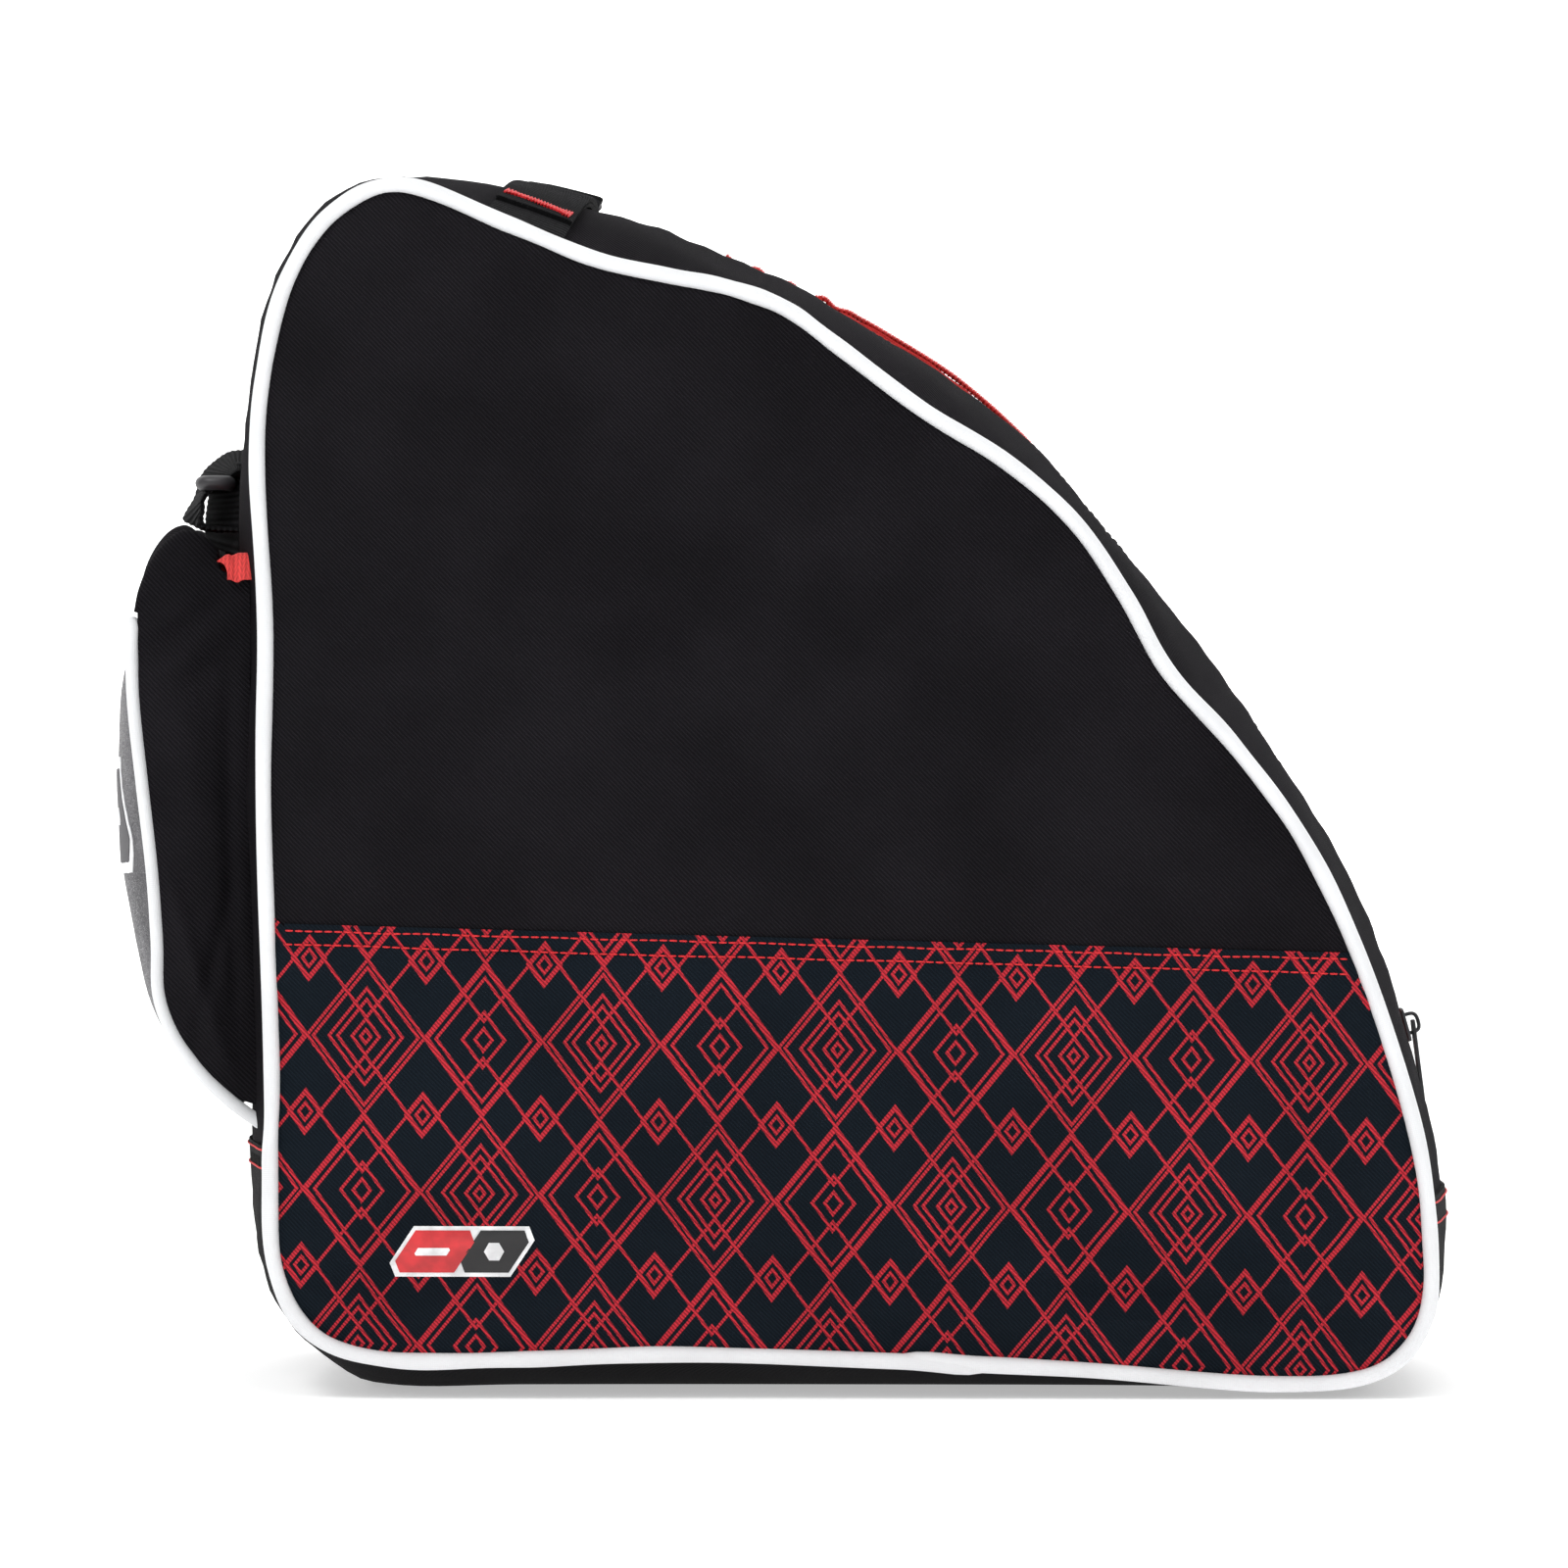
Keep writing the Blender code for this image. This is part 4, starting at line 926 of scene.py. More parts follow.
def gusset_part(name, us, open_at):
    """One end of the gusset, with a slot for the zip where open_at says so for a row's two stations."""
    zip_side = across_values(-EDGE_Y, -ZIP_WINDOW, GUSSET_STEP)
    ys = np.concatenate([zip_side, across_values(ZIP_WINDOW, EDGE_Y, GUSSET_STEP)])
    grid, cloth = gusset_grid(us, ys)
    keep = np.ones((len(us) - 1, len(ys) - 1), bool)
    keep[open_at(us[:-1], us[1:]), len(zip_side) - 1] = False
    piece = sheet_object(name, grid, FABRIC, LOOKS["gusset"], cloth, keep)
    finish_piece(piece, "body", "black_fabric", name)


def lining_part(name, us, half, *more_nodes):
    grid, cloth = gusset_grid(us, across_values(-half, half, 4.5), -FABRIC - 1.0)
    if more_nodes:  # over the base
        flat_z = np.maximum(grid[..., 2], 6.2)
        grid[..., 2] = flat_z + 0.5 * waves(grid[..., 0], grid[..., 1], 81, 60)
    piece = sheet_object(name, grid, 0.7, LOOKS["lining"], cloth)
    finish_piece(piece, "body", "lining", name, *more_nodes)


GUSSET_STEP = 4.0


def make_gusset():
    top_u, flap_u = float(u_along(0)), float(u_along(FLAP_FROM))
    us = np.concatenate([across_values(-0.35, top_u, 0.16), across_values(top_u, flap_u, 0.16)[1:]])
    gusset_part("gusset_front", us, lambda low, high: low >= top_u - 1e-6)
    foot_u, flap_u = float(u_along(ZIP_LENGTH)), float(u_along(FLAP_TO))
    us = np.concatenate([across_values(flap_u, foot_u, 0.12), across_values(foot_u, 24.3, 0.12)[1:]])
    gusset_part("gusset_heel", us, lambda low, high: high <= foot_u + 1e-6)

    # the base wraps up outside the gusset at both ends
    us = across_values(BASE_HEEL_U, SPANS + BASE_FRONT_U, 0.14)
    ys = across_values(-EDGE_Y, EDGE_Y, GUSSET_STEP)
    u, y = np.meshgrid(us, ys, indexing="ij")
    grid = on_gusset(u, y, base_over(u))
    grid[..., 2] = np.maximum(grid[..., 2], 0.0)
    cloth = np.stack([np.interp(u, FINE_U, CROWN_LENGTH) + (u > SPANS) * CROWN_LENGTH[-1], y], -1)
    piece = sheet_object("base_panel", grid, FABRIC, LOOKS["base"], cloth)
    finish_piece(piece, "body", "base_fabric", "base_panel")

    rows = []
    for name, hem_u, into in (("front", SPANS + BASE_FRONT_U, -1), ("heel", BASE_HEEL_U, 1)):
        for drop in (1.6, 8.0):
            u_row = hem_u + into * drop / 31.0
            y = np.linspace(-EDGE_Y + 1.5, EDGE_Y - 1.5, 90)
            u = np.full_like(y, u_row)
            path = on_gusset(u, y, base_over(u_row))
            outward = on_gusset(u, y, base_over(u_row) + 1.0) - path
            label = f"base_row_{name}_{drop:.0f}"
            rows.append(stitches(label, path, outward, LOOKS["red_thread"], 3.1, 2.6, 0.34))
    finish_piece(joined("base_stitches", rows), "body", "red_zip")

    lining_part("lining_front", across_values(0.0, float(u_along(-6)), 0.2), 88)
    lining_part("lining_base", across_values(24.5, SPANS - 0.5, 0.2), 94, "base_board")


def base_over(u):
    """How far the base lies outside the gusset where it wraps up over it."""
    return 1.3 * (1 - smoothstep((seam(u)[3] - 2.6) / 3))


# ---- the main zip and its flaps ----
CREASE_LENGTH = 80.0  # at each end, where an open flap folds down to the closed end of the zip


def down_slope(points):
    """How far points lie down the slope from the hinge's reference point."""
    return (points - HINGE_AT) @ SLOPE


def u_on_level(level, y):
    """Stations where each y of the slope lies a given way down it."""
    table = FINE_U[(FINE_U > 12) & (FINE_U < 24)]
    found = []
    for value in y:
        found.append(np.interp(level, down_slope(shell(table, np.full_like(table, value))), table))
    return np.array(found)


def flap_levels():
    """The levels down the slope where the two creases begin and end."""
    y = np.linspace(0, EDGE_Y, 30)
    first = down_slope(shell(np.full_like(y, u_along(FLAP_FROM)), y)).max()
    last = down_slope(shell(np.full_like(y, u_along(FLAP_TO)), y)).min()
    return first, first + CREASE_LENGTH, last - CREASE_LENGTH, last


LEVELS = flap_levels()


def blend_linear(piece, gradient):
    """Bakes the piece's placement into its mesh; the gradient is not used."""
    gradient = np.asarray(gradient, float)
    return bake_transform(piece)


def open_with_flap(piece, side, part):
    """Works out a linear function of place for one of a flap's three lengths and bakes the piece's placement:
    0 is the upper crease, 1 the middle and 2 the lower crease.
    """
    reach = EDGE_Y - ZIP_WINDOW - 2.0
    gradient = np.array([0.0, -side / reach, 0.0])  # 0 at the seam, 1 at the zip
    constant = EDGE_Y / reach
    if part == 0:
        gradient = gradient + SLOPE / CREASE_LENGTH
        constant -= (HINGE_AT @ SLOPE + LEVELS[1]) / CREASE_LENGTH
    if part == 2:
        gradient = gradient - SLOPE / CREASE_LENGTH
        constant += (HINGE_AT @ SLOPE + LEVELS[2]) / CREASE_LENGTH
    blend_linear(piece, gradient)


def stripe(length):
    """1 where the red zip stands clear of the cloth, 0 where it lies between the flaps' edges."""
    return smoothstep((length - 34) / 18) * (1 - smoothstep((length - 84) / 52))


def puckers(length):
    return (1 - smoothstep((length - 40) / 14)) * smoothstep((length - 1) / 4)


def flap_lift(u, y):
    """The flaps sink along the zip where it stands clear, and their topstitched edges roll up a little."""
    length = length_at(u) - ZIP_START
    near_zip = np.abs(y) - ZIP_WINDOW
    sink = -2.1 * stripe(length) * np.exp(-((near_zip / 42) ** 2)) - 0.5 * np.exp(-((near_zip / 8) ** 2))
    return sink + 0.35 * np.exp(-(((near_zip - 4.5) / 3) ** 2))


def tape_lift(u, y):
    """The tape arches between the flaps' edges and puckers at the zip's upper end."""
    length = length_at(u) - ZIP_START
    edge = flap_lift(u, np.full_like(np.asarray(y, float), ZIP_WINDOW)) - FABRIC - 0.3
    middle = -1.7 + 1.5 * stripe(length) + 0.9 * puckers(length)
    pucker = 1.0 * puckers(length) * np.sin(2 * math.pi * (length - 3.2) / 11.4) * np.exp(-((y / 9) ** 2))
    arch = 1 - smoothstep((np.abs(y) - 1.5) / (ZIP_WINDOW - 1.8))
    return edge + (middle - edge) * arch + pucker * arch


def length_grids(ys, lift):
    """The slope's three lengths as one grid, the rows where they part and the cloth's coordinates."""
    curves = [np.full(len(ys), float(u_along(FLAP_FROM))), u_on_level(LEVELS[1], ys),
              u_on_level(LEVELS[2], ys), np.full(len(ys), float(u_along(FLAP_TO)))]  # fmt: skip
    rows, breaks = [], [0]
    for part, count in enumerate((28, 48, 28)):
        a, b = curves[part], curves[part + 1]
        shares = np.linspace(0, 1, count + 1)
        rows += [a + (b - a) * s for s in shares[(0 if part == 0 else 1):]]
        breaks.append(len(rows) - 1)
    u = np.array(rows)
    y = np.broadcast_to(ys, u.shape)
    grid = on_gusset(u, y, lift(u, y), wrinkled=0.8)
    return grid, breaks, np.stack([length_at(u), y], -1)


FLAP_PARTS = ("top", "middle", "foot")
TAPE = 0.6
TAPE_YS = across_values(0.9, ZIP_WINDOW + 3.5, 0.9)


def make_flaps():
    near_zip = across_values(ZIP_WINDOW, ZIP_WINDOW + 9, 1.1)
    flap_ys = np.concatenate([near_zip, across_values(ZIP_WINDOW + 12, EDGE_Y, GUSSET_STEP)])
    for side, word in SIDES:
        cut_into_lengths("zip_flap_" + word, flap_ys, flap_lift, FABRIC, "gusset", side)
        cut_into_lengths("zip_tape_" + word, TAPE_YS, tape_lift, TAPE, "tape", side)
        make_stubs(side, word)
        make_coil(side, word)
        make_flap_stitches(side, word)


def cut_into_lengths(node, ys, lift, thickness, look, side):
    grid, breaks, cloth = length_grids(np.sort(side * ys), lift)
    normals = grid_normals(grid)
    for part, label in enumerate(FLAP_PARTS):
        rows = slice(breaks[part], breaks[part + 1] + 1)
        piece = sheet_object(f"{node}_{label}", grid[rows], thickness, LOOKS[look], cloth[rows],
                             normals=normals[rows])  # fmt: skip
        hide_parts(node)
        open_with_flap(piece, side, part)


def make_stubs(side, word):
    """The closed ends of the tape, which stay with the bag."""
    for label, low, high in (("top", 1.0, FLAP_FROM), ("heel", FLAP_TO, ZIP_LENGTH - 1.0)):
        us = u_along(np.arange(low, high + 0.5, 1.0))
        u, y = np.meshgrid(us, np.sort(side * TAPE_YS), indexing="ij")
        grid, cloth = on_gusset(u, y, tape_lift(u, y), wrinkled=0.8), np.stack([length_at(u), y], -1)
        piece = sheet_object(f"zip_stub_{label}_{word}", grid, TAPE, LOOKS["tape"], cloth)
        finish_piece(piece, "body", "red_zip")


def level_part(length, side):
    """Which of the flap's lengths a place on the zip belongs to, or -1 and 3 beyond them."""
    if length < FLAP_FROM:
        return -1
    if length > FLAP_TO:
        return 3
    level = down_slope(shell(u_along(length), 3.0 * side))
    return 0 if level < LEVELS[1] else 1 if level < LEVELS[2] else 2


def crown_axes(length):
    """A place on the crown and its directions along the zip and outwards."""
    u = float(u_along(length))
    ahead = shell(u + 0.01, 0.0) - shell(u - 0.01, 0.0)
    ahead /= np.linalg.norm(ahead)
    return shell(u, 0.0), ahead, np.array([-ahead[2], 0.0, ahead[0]])


def make_coil(side, word):
    """One side of the zip's coil: a loop at each step, its head past the middle, its foot on the tape."""
    outline = [(5.2, 0.30), (3.4, 0.62), (1.4, 0.95), (0.1, 0.85), (-0.35, 0.35), (0.1, -0.15), (1.6, -0.25)]
    groups = {}
    for k in range(int((COIL_TO - COIL_FROM) / COIL_PITCH)):
        length = COIL_FROM + (k + (0.5 if side == FAR else 0.0)) * COIL_PITCH
        place, ahead, up = crown_axes(length)
        lift = float(tape_lift(u_along(length), 0.0)) + 0.35
        path = [place + np.array([0, side * y, 0]) + up * (lift + z) for y, z in outline]
        groups.setdefault(level_part(length, side), []).append((np.array(path), ahead))
    for part, loops in sorted(groups.items()):
        label = ("top_stub", *FLAP_PARTS, "heel_stub")[part + 1]
        piece = wire_loops(f"zip_coil_{label}_{word}", loops, 0.42)
        if part in (0, 1, 2):
            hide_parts("zip_coil_" + word)
            open_with_flap(piece, side, part)
        else:
            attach(piece, "body")


def wire_loops(name, loops, wire, sides=5):
    """Short bent wires, each a path and the zip's direction there, as one object."""
    points, faces = [], []
    for path, ahead in loops:
        first = len(points)
        ahead = np.asarray(ahead, float)
        for place, direction in zip(path, np.gradient(path, axis=0)):
            b = np.cross(direction / np.linalg.norm(direction), ahead)
            for s in range(sides):
                a = 2 * math.pi * s / sides
                points.append(place + wire * (math.cos(a) * ahead * 1.25 + math.sin(a) * b))
        for ring in range(len(path) - 1):
            for s in range(sides):
                t = (s + 1) % sides
                a = first + ring * sides
                faces.append([a + s, a + sides + s, a + sides + t, a + t])
        faces.append([first + s for s in range(sides)])
        faces.append([first + (len(path) - 1) * sides + s for s in range(sides)][::-1])
    piece = new_object(name, points, faces, LOOKS["coil"], angle=70)
    fix_winding(piece)
    return piece


def fix_winding(piece):
    """Turns all faces round if the piece's volume comes out negative."""
    mesh = piece.data
    mesh.calc_loop_triangles()
    co = np.array([v.co for v in mesh.vertices])
    tri = np.array([t.vertices for t in mesh.loop_triangles])
    if np.einsum("ij,ij->i", co[tri[:, 0]], np.cross(co[tri[:, 1]], co[tri[:, 2]])).sum() < 0:
        mesh.flip_normals()


def make_flap_stitches(side, word):
    """Topstitching along the flap's edge, in the same lengths as the flap."""
    ys = np.sort(side * (ZIP_WINDOW + np.array([3.0, 3.5])))
    grid, breaks, _ = length_grids(ys, flap_lift)
    above, _, _ = length_grids(ys, lambda u, y: flap_lift(u, y) + 1.0)
    for part, label in enumerate(FLAP_PARTS):
        rows = slice(breaks[part], breaks[part + 1] + 1)
        name, outward = f"zip_stitches_{label}_{word}", (above - grid)[rows, 0]
        piece = stitches(name, grid[rows, 0], outward, LOOKS["black_thread"], 2.8, 2.2, 0.3)
        open_with_flap(piece, side, part)


def place_matrix(node_origin, along, up):
    x = Vector(along).normalized()
    z = Vector(up)
    z = (z - x * z.dot(x)).normalized()
    turn = Matrix((x, z.cross(x), z)).transposed().to_4x4()
    return Matrix.Translation(Vector(node_origin) * MM) @ turn


def round_the_clock(count):
    """Cosine and sine of evenly spaced directions."""
    return [(math.cos(a), math.sin(a)) for a in np.linspace(0, 2 * math.pi, count, endpoint=False)]


def slider_piece(name, place, top, foot, width=1.0):
    """A zip slider: two waisted plates, a post between them and a bail for the puller."""
    shape = [(-5.5, -2.6), (-4.6, -4.2), (1.6, -4.4), (4.6, -3.9), (5.5, -2.4)]
    shape = [(x, y * width) for x, y in shape]
    outline = shape + [(x, -y) for x, y in reversed(shape)]
    pieces = []
    for label, low, high in (("top", top, top + 1.3), ("foot", foot - 1.3, foot)):
        count = len(outline)
        points = [(x, y, low) for x, y in outline] + [(x, y, high) for x, y in outline]
        faces = [list(range(count))[::-1], list(range(count, 2 * count))]
        faces += [[i, (i + 1) % count, (i + 1) % count + count, i + count] for i in range(count)]
        pieces.append(bevel(new_object(f"{name}_{label}", points, faces, LOOKS["metal"]), 0.45))
    post = (1.2, -0.5, foot - 0.6), (4.4, 0.5, top + 0.6)
    pieces.append(box_object(name + "_post", *post, LOOKS["metal"], 0.2))
    deck = top + 1.3
    arch = [(-3.0, -0.3), (-2.9, 2.2), (-2.0, 3.4), (0, 3.7), (2.0, 3.4), (2.9, 2.2), (3.0, -0.3)]
    bail = [(x, 0, deck + z) for x, z in arch]
    path, _ = catmull(bail, np.linspace(0, len(bail) - 1, 25), closed=False)
    pieces.append(tube_object(name + "_bail", path, 0.62, LOOKS["metal"], sides=10))
    made = joined(name + "_visual", pieces)
    made.matrix_world = place
    return made, deck + 2.0


def puller_piece(name, place):
    """A flat tapering tab with a slot at one end for the bail and a finger hole at the other."""
    half = [(-0.9, 1.9), (0.2, 2.6), (6.0, 2.9), (12.0, 2.6), (22.0, 3.3), (25.6, 2.8), (27.0, 1.3)]
    outline = np.array(half + [(x, -y) for x, y in reversed(half)])
    holes = [[(0.7, -1.3), (5.0, -1.3), (5.0, 1.3), (0.7, 1.3)]]
    holes.append([(22.0 + 1.6 * c, 1.6 * s) for c, s in round_the_clock(12)])
    points, edges = [tuple(p) for p in outline], [(i, (i + 1) % len(outline)) for i in range(len(outline))]
    for hole in holes:
        first = len(points)
        points += hole
        edges += [(first + i, first + (i + 1) % len(hole)) for i in range(len(hole))]
    flat, found = triangulated(points, edges)
    faces = []
    for face in found:
        middle = flat[face].mean(axis=0)
        in_slot = 0.7 < middle[0] < 5.0 and abs(middle[1]) < 1.3
        in_hole = math.hypot(middle[0] - 22.0, middle[1]) < 1.5
        if not in_slot and not in_hole:
            a, b, c = (flat[i] for i in face[:3])
            turn = (b[0] - a[0]) * (c[1] - a[1]) - (b[1] - a[1]) * (c[0] - a[0])
            faces.append(face if turn > 0 else face[::-1])
    count = len(flat)
    solid = faces + [[i + count for i in f[::-1]] for f in faces] + rim(faces, count)
    points = [(x, y, 0.6) for x, y in flat] + [(x, y, -0.6) for x, y in flat]
    made = bevel(new_object(name + "_visual", points, solid, LOOKS["metal"]), 0.25, segments=2)
    made.matrix_world = place
    return made


def make_main_slider():
    place, ahead, up = crown_axes(ZIP_LENGTH - SLIDER_AT)
    matrix = place_matrix(place, ahead, up)
    slider, pivot = slider_piece("zip_slider", matrix, 0.7, -2.9)
    finish_piece(slider, "zip_slider", "zip_metal", "zip_slider")
    lean = Matrix.Rotation(math.radians(9), 4, "Y")
    puller = puller_piece("zip_puller", matrix @ Matrix.Translation((0, 0, pivot * MM)) @ lean)
    finish_piece(puller, "zip_puller", "zip_metal", "zip_puller")
    for name, length in (("zip_stop_top", 3.5), ("zip_stop_bottom", ZIP_LENGTH - 3.5)):
        place, ahead, up = crown_axes(length)
        stop = box_object(name + "_visual", (-1.3, -3.2, -1.2), (1.3, 3.2, 0.7), LOOKS["metal"], 0.4)
        stop.matrix_world = place_matrix(place, ahead, up)
        finish_piece(stop, "body", "zip_metal", name)


# ---- top band, loop and D-ring ----
BAND_X, WEB_HALF, WEB = -92.0, 12.5, 1.3
TOP_RING_Y, TOP_RING_HEIGHT, TOP_RING_R = 24.0, 3.9, 1.5
RING_RISE = 3.2  # how far the ring's bow bends up from the band


def band_us(margin=0.0, step=0.8):
    middle = float(length_at(u_at_x(BAND_X)))
    lengths = middle + across_values(-WEB_HALF - margin, WEB_HALF + margin, step)
    return np.interp(lengths, CROWN_LENGTH, FINE_U)


def web_lift(u, y):
    """Small ribs across the webbing, with rounded long edges."""
    length = length_at(u)
    from_edge = WEB_HALF - np.abs(length - length_at(u_at_x(BAND_X)))
    return 0.13 * np.sin(2 * math.pi * y / RIB) - 0.35 * np.exp(-from_edge / 0.5)


def make_top_band():
    us = band_us()
    ys = across_values(-EDGE_Y + 0.6, EDGE_Y - 0.6, 0.48)
    u, y = np.meshgrid(us, ys, indexing="ij")
    grid = shell(u, y, 0.5 + WEB + web_lift(u, y))
    piece = sheet_object("top_band", grid, WEB, LOOKS["web"], np.stack([length_at(u), y], -1))
    finish_piece(piece, "body", "webbing", "top_band")

    low = 0.8 + 2 * WEB
    high = TOP_RING_HEIGHT + TOP_RING_R + WEB + 0.5
    ys = across_values(-88, 31.5, 0.48)
    hump = smoothstep((6.4 - np.abs(ys - TOP_RING_Y)) / 4.2)
    lift = low + (high - low) * hump
    u, y = np.meshgrid(us, ys, indexing="ij")
    grid = shell(u, y, lift + web_lift(u, y))
    piece = sheet_object("top_loop", grid, WEB, LOOKS["web"], np.stack([length_at(u), y], -1))
    finish_piece(piece, "body", "webbing", "top_loop")

    rows = [bartack("tack_near", us, -80.3, -84.3, low), bartack("tack_far", us, 10.0, 10.0, low)]
    finish_piece(joined("band_bartacks", rows), "body", "red_zip")

    middle = u_at_x(BAND_X)
    origin = shell(middle, TOP_RING_Y, TOP_RING_HEIGHT)
    along = shell(us[-1], 0.0) - shell(us[0], 0.0)
    _, normal, _, _ = seam(middle)
    half, depth = 11.8, 17.0
    bar = [(x, 0.0, 0.0) for x in np.linspace(half - 1.6, 1.6 - half, 8)]
    bow = [(-half * math.cos(a), depth * math.sin(a) ** 0.8) for a in np.radians(np.linspace(6, 174, 34))]
    bow = [(x, y, RING_RISE * (y / depth) ** 2) for x, y in bow]
    ring = tube_object("top_ring_visual", bar + bow, TOP_RING_R, LOOKS["plastic"], closed=True, sides=16)
    ring.matrix_world = place_matrix(origin, along, (normal[0], 0.0, normal[1]))
    finish_piece(ring, "top_ring", "ring_plastic", "top_ring")


def bartack(name, us, y_from, y_to, lift):
    """A dense zigzag of red thread across the webbing, thicker at its ends."""
    count = 42
    along = np.linspace(us[2], us[-3], count)
    t = np.linspace(-1, 1, count)
    sway = 2.2 + 0.7 * (np.abs(t) > 0.74)
    y = np.linspace(y_from, y_to, count) + sway * np.where(np.arange(count) % 2, 1, -1)
    path = shell(along, y, lift + 0.4)
    fine = np.linspace(0, count - 1, count * 3)
    path = np.array([[np.interp(k, np.arange(count), path[:, c]) for c in range(3)] for k in fine])
    return tube_object(name, path, 0.42, LOOKS["red_thread"], sides=6)


# ---- front loop and ring ----
LOOP_OUTER = np.array([
    (-189.5, 294.0), (-192.4, 294.0), (-197.0, 293.3), (-201.5, 290.4), (-205.2, 286.8), (-207.0, 282.5),
    (-208.2, 278.0), (-210.6, 274.0), (-211.6, 271.0), (-208.4, 269.2), (-203.0, 267.2), (-192.4, 266.6),
    (-189.5, 266.6),
], float)  # fmt: skip
LOOP_INNER = np.array([
    (-202.0, 289.0), (-202.6, 285.6), (-203.0, 282.0), (-204.0, 276.0), (-204.6, 270.4), (-204.6, 263.4),
], float)  # fmt: skip
FRONT_RING_X, FRONT_RING_Z, FRONT_RING_HALF, FRONT_RING_R = (-203.2, -194.9), 282.0, 15.3, 2.3


def ribbon(name, profile, half_width, thickness, look, turned, step=0.45):
    """A ribbed strap along a profile in x and z. turned gives how far its near edge lies from that."""
    fine, _ = catmull(profile, np.linspace(0, len(profile) - 1, 240), closed=False)
    along = run_along(fine)
    at = across_values(0, along[-1], step)
    line = np.column_stack([np.interp(at, along, fine[:, 0]), np.interp(at, along, fine[:, 1])])
    ahead = unit(np.gradient(line, axis=0))
    outward = np.column_stack([ahead[:, 1], -ahead[:, 0]])
    line = line + outward * (0.13 * np.sin(2 * math.pi * at / RIB))[:, None]
    ys = across_values(-half_width, half_width, 1.0)[::-1]
    edge = 0.35 * np.exp(-(half_width - np.abs(ys)) / 0.5)
    shift = turned(line)
    share = (half_width - ys) / (2 * half_width)
    grid = np.zeros((len(line), len(ys), 3))
    grid[..., 0] = line[:, :1] - outward[:, :1] * edge + shift[:, :1] * share
    grid[..., 1] = ys
    grid[..., 2] = line[:, 1:] - outward[:, 1:] * edge + shift[:, 1:] * share
    cloth = np.array([[(y, a) for y in ys] for a in at])
    return sheet_object(name, grid, thickness, look, cloth)


def make_front_loop():
    centre = np.array([-191.0, 284.0])

    def outer_turn(line):
        share = 0.36 + 0.4 * smoothstep((line[:, 1] - 277) / 7)
        return (centre - line) * share[:, None] * smoothstep((line[:, 1:] - 266.6) / 4)

    def inner_turn(line):
        return np.column_stack([np.full(len(line), 12.6), -4.4 * smoothstep((271 - line[:, 1]) / 7)])

    piece = ribbon("front_loop_outer", LOOP_OUTER, WEB_HALF, WEB, LOOKS["web"], outer_turn)
    finish_piece(piece, "body", "webbing", "front_loop_outer")
    piece = ribbon("front_loop_inner", LOOP_INNER, WEB_HALF - 0.3, WEB, LOOKS["web"], inner_turn)
    finish_piece(piece, "body", "webbing", "front_loop_inner")
    (out_x, in_x), half, turn = FRONT_RING_X, FRONT_RING_HALF, 3.0
    corners = ((in_x - turn, half - turn, 0), (out_x + turn, half - turn, 90),
               (out_x + turn, turn - half, 180), (in_x - turn, turn - half, 270))  # fmt: skip
    path = []
    for centre_x, centre_y, start in corners:
        for a in np.radians(np.linspace(start, start + 90, 7)):
            path.append((centre_x + turn * math.cos(a), centre_y + turn * math.sin(a), FRONT_RING_Z))
    path = np.array(path)
    ring = tube_object("front_ring_visual", path, FRONT_RING_R, LOOKS["plastic"], closed=True, sides=16)
    finish_piece(ring, "front_ring", "ring_plastic", "front_ring")


# ---- front pocket ----
def lip_outline(v):
    """The lip's outer profile in x and z at v of the pocket's half width, fuller over the shoulders."""
    t = np.arange(len(LIP)) / (len(LIP) - 1)
    at_end = smoothstep((abs(v) - 0.6) / 0.34)
    puff = 5.2 * np.sin(math.pi * t**2.0) * math.sin(math.pi * min(1.0, abs(v)) ** 0.8) ** 2
    middle = np.column_stack([LIP[:, 0] - 0.5 * (1 - v * v) * (1 - t), LIP[:, 1] + puff])
    return middle + (LIP_END - middle) * at_end


FACE_Y = POCKET_HALF - POCKET_PIPING_R - 0.4


def face_rows():
    rows, slope = catmull(POCKET_FACE, np.linspace(0, len(POCKET_FACE) - 1, 41), closed=False)
    return rows, unit(np.stack([slope[:, 1], -slope[:, 0]], -1))


def face_grid():
    rows, outward = face_rows()
    shares = np.linspace(1, -1, 45)
    grid = np.zeros((len(rows), len(shares), 3))
    for j, share in enumerate(shares):
        rise = rows[:, 2] * (1 - np.abs(share) ** 2.2)
        place = rows[:, :2] + outward * rise[:, None]
        grid[:, j] = np.column_stack([place[:, 0], np.full(len(rows), share * FACE_Y), place[:, 1]])
    cloth = np.stack(np.meshgrid(run_along(rows[:, :2]), shares * FACE_Y, indexing="ij"), -1)
    wrinkle = 0.35 * waves(cloth[..., 0], cloth[..., 1], 91, 34)
    return grid + grid_normals(grid) * wrinkle[..., None], cloth


